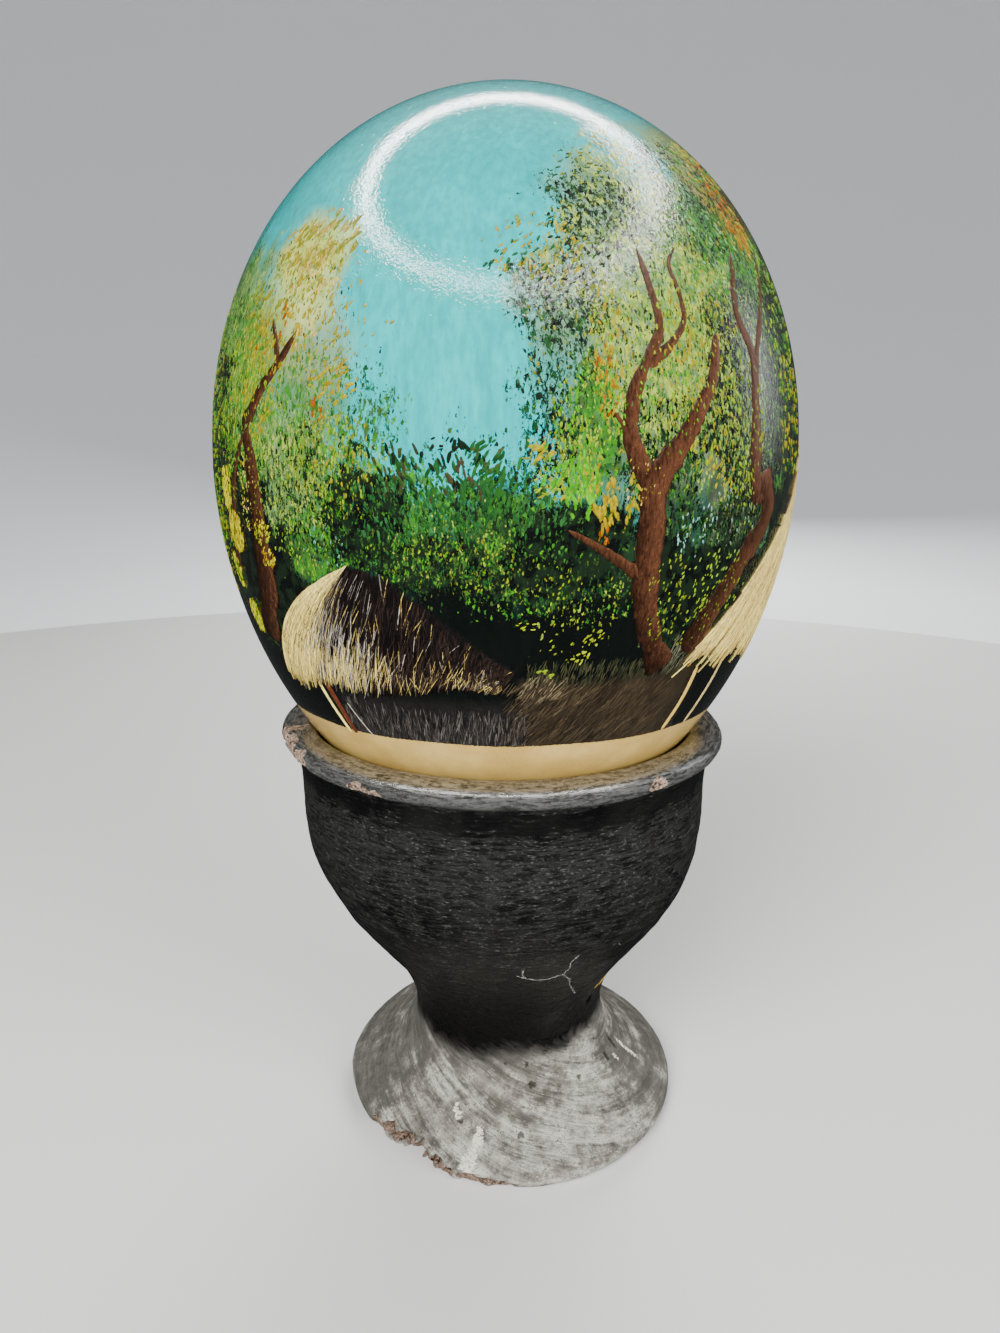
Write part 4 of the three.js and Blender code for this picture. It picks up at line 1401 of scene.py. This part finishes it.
def build_cracks():
    """Pale hairline cracks in the bowl, above the neck."""
    rng = np.random.default_rng(SEED + 4)
    turns, heights = smooth_routes(CRACKS, 40)
    turns = turns + rng.normal(0, 0.22, turns.shape)
    heights = heights + rng.normal(0, 0.12, heights.shape)
    widths = rng.uniform(0.05, 0.19, turns.shape)
    widths[:, [0, -1]] = 0.05
    look = Look("crack_crust", Roughness=0.8)
    grain = look.noise(0.4 * MM, 2.0)
    look.set("Base Color", look.mix(grain.step(0.3, 0.7), (0.14, 0.13, 0.12), (0.42, 0.40, 0.36)))
    return strokes_mesh("neck_cracks", turns, heights, widths, 0.07, None, look.material, on_goblet)


# ---------------------------------------------------------------------------------------------
# Stage, light and camera
# ---------------------------------------------------------------------------------------------
def stage_piece(name, vertices, faces, look, unseen_by, smooth=False):
    """A mesh of the stage, which some kinds of light rays pass by."""
    piece = make_mesh(name, vertices, faces, look.material, smooth)
    for rays in unseen_by:
        setattr(piece, "visible_" + rays, False)


def turned_band(profile, steps, centre=(0, 0)):
    """Vertices and faces of an open surface turned about an upright axis, from radii and heights."""
    around = np.linspace(0, 2 * math.pi, steps, endpoint=False)
    vertices = [(centre[0] + reach * math.cos(a), centre[1] + reach * math.sin(a), z)
                for reach, z in profile for a in around]
    faces = [(low + k, low + (k + 1) % steps, low + steps + (k + 1) % steps, low + steps + k)
             for low in range(0, (len(profile) - 1) * steps, steps) for k in range(steps)]
    return vertices, faces


def build_floor():
    """A wide pale floor."""
    half = 6.0
    corners = [(half * x, half * y, FLOOR) for x, y in ((-1, -1), (1, -1), (1, 1), (-1, 1))]
    look = Look("pale_floor", Roughness=0.6)
    look.set("Base Color", look.mix(look.noise(0.4), (0.74, 0.74, 0.73), (0.78, 0.78, 0.77)))
    stage_piece("floor", corners, [(0, 1, 2, 3)], look, ["glossy"])


def build_ring_light():
    """A ring lamp overhead, which the varnish mirrors as a bright ellipse."""
    radius, width, height = 0.175, 0.015, FLOOR + 0.40
    profile = [(radius - width / 2, height), (radius + width / 2, height)]
    look = Look("ring_glow")
    look.set("Emission Color", (1.0, 0.99, 0.97, 1))
    look.set("Emission Strength", 54.0)
    vertices, faces = turned_band(profile, 96, (0.004, -0.082))
    stage_piece("ring_light", vertices, faces, look, ["camera", "diffuse", "shadow"])


def build_side_glow():
    """A dim, soft-edged panel at the right, which the varnish mirrors as a faint upright haze."""
    middle, wide, tall = np.array((0.66, 0.20, FLOOR + 0.38)), 0.30, 0.62
    sideways, upward = np.array((-0.32, 0.95, 0.0)) * wide / 2, np.array((0.0, 0.0, 1.0)) * tall / 2
    corners = [middle + sideways * x + upward * y for x, y in ((-1, -1), (1, -1), (1, 1), (-1, 1))]
    look = Look("side_glow", Roughness=1.0)
    look.set("Base Color", (0, 0, 0, 1))
    look.set("Emission Color", (0.95, 0.97, 1.0, 1))
    local = look.vector("SUBTRACT", look.place, tuple(middle))
    local = look.vector("DIVIDE", local, (wide / 2, wide / 2, tall / 2))
    look.set("Emission Strength", look.vector("LENGTH", local).step(1.0, 0.1, 0.0, 4.5))
    stage_piece("side_glow", corners, [(0, 1, 2, 3)], look, ["camera", "diffuse", "shadow"])


def build_backdrop():
    """A round pale wall with a curved foot, well outside the lights, seen by the camera only."""
    radius, cove, top = 2.6, 1.9, 5.0
    profile = [(radius - cove + cove * math.sin(a), FLOOR + cove * (1 - math.cos(a)))
               for a in np.linspace(0, math.pi / 2, 12)] + [(radius, top)]
    look = Look("pale_wall", Roughness=0.9)
    look.set("Base Color", look.mix(look.noise(0.9), (0.72, 0.73, 0.74), (0.76, 0.77, 0.78)))
    look.set("Emission Color", (0.93, 0.95, 1.0, 1))
    look.set("Emission Strength", 0.3)
    stage_piece("backdrop", *turned_band(profile, 96), look, ["diffuse", "glossy", "shadow"], smooth=True)


def build_soft_light(name, place, target, size, power):
    """A large softbox that lights without showing as a mirrored shape."""
    lamp = bpy.data.lights.new(name, "AREA")
    lamp.shape = "DISK"
    lamp.size = size
    lamp.energy = power
    light = bpy.data.objects.new(name, lamp)
    x, y, z = np.array(target) - np.array(place)
    light.location = place
    light.rotation_euler = (math.acos(-z / math.hypot(x, y, z)), 0, math.atan2(y, x) - math.pi / 2)
    light.visible_glossy = False
    bpy.context.scene.collection.objects.link(light)


def build_world():
    """Dim, even light from all round."""
    world = bpy.data.worlds.new("studio")
    world.use_nodes = True
    backdrop = world.node_tree.nodes["Background"]
    backdrop.inputs["Color"].default_value = (0.86, 0.88, 0.90, 1)
    backdrop.inputs["Strength"].default_value = 0.05
    bpy.context.scene.world = world


def build_camera():
    """The camera stands close in front, a little above the rim, looking slightly down."""
    camera = bpy.data.objects.new("camera", bpy.data.cameras.new("camera"))
    camera.data.lens = 22.96
    camera.data.sensor_width = 36
    camera.data.clip_start = 0.01
    look_down, roll = math.radians(14.46), math.radians(0.63)
    camera.matrix_world = (Matrix.Translation((-0.0006, -0.2006, 0.1652))
                           @ Matrix.Rotation(math.pi / 2 - look_down, 4, "X") @ Matrix.Rotation(roll, 4, "Z"))
    bpy.context.scene.collection.objects.link(camera)
    bpy.context.scene.camera = camera


build_camera()
build_world()
build_floor()
build_backdrop()
build_ring_light()
build_side_glow()
egg_middle = (0, 0, float(shell_low[2] + shell_high[2]) / 2)
build_soft_light("key", (-0.45, -0.80, 0.62), egg_middle, 0.7, 22)
build_soft_light("fill", (0.75, -0.6, 0.36), egg_middle, 0.7, 13)
build_soft_light("back", (0.2, 0.9, 0.6), egg_middle, 0.7, 12)

shell = build_shell()
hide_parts("egg_shell")
lining = build_lining()
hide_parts("shell_membrane")
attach(lining, "egg")

groves = {"left": (LEFT_TREE, LEFT_LEAVES), "right": (RIGHT_TREE, RIGHT_LEAVES)}
back = [(seed, letter, *groves[grove], turn, flip)
        for seed, (letter, grove, turn, flip) in enumerate(BACK_COPIES, SEED + 3)]
back_bushes = [group for turn in BUSH_TURNS[1:] for group in moved_leaves(MIDDLE_LEAVES[:13], turn, 1)]
painted = [
    shell,
    build_tree("right_tree", RIGHT_TREE, 1, SEED),
    build_tree("far_tree", FAR_TREE, 1, SEED + 1),
    build_tree("left_tree", LEFT_TREE, 1, SEED + 2, 0.6),
    build_thatch("left_thatch", LEFT_ROOF, 3800, left_roof_tint, 0.12, SEED),
    build_thatch("right_thatch", RIGHT_ROOF, 3400, right_roof_tint, 0.16, SEED + 1),
    *(build_tree("back_tree_" + letter, moved_tree(tree, turn, flip), flip, seed)
      for seed, letter, tree, leaves, turn, flip in back),
    build_ground_strokes(),
    build_posts(),
    build_leaves("right_leaves", RIGHT_LEAVES, SEED),
    build_leaves("left_leaves", LEFT_LEAVES, SEED + 1),
    build_leaves("bush_leaves", MIDDLE_LEAVES, SEED + 2),
    *(build_leaves("back_leaves_" + letter, moved_leaves(leaves, turn, flip), seed)
      for seed, letter, tree, leaves, turn, flip in back),
    build_leaves("back_bush_leaves", back_bushes, SEED + 6),
]
for piece in painted:
    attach(piece, "egg")

neck_joint = [(0, NECK_HEIGHT), (NECK_RADIUS, NECK_HEIGHT)]
bowl = build_clay("burnished_bowl", [neck_joint, *bowl_outside, *bowl_inside], "burnished_clay")
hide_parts("cup_bowl")
foot = build_clay("dusty_foot", [*foot_underneath, *foot_outside, neck_joint[::-1]], "dusty_clay")
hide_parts("pedestal_foot")
cracks = build_cracks()
for piece, slot in ((bowl, "burnished_clay"), (cracks, "burnished_clay"), (foot, "dusty_clay")):
    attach(piece, "stand")
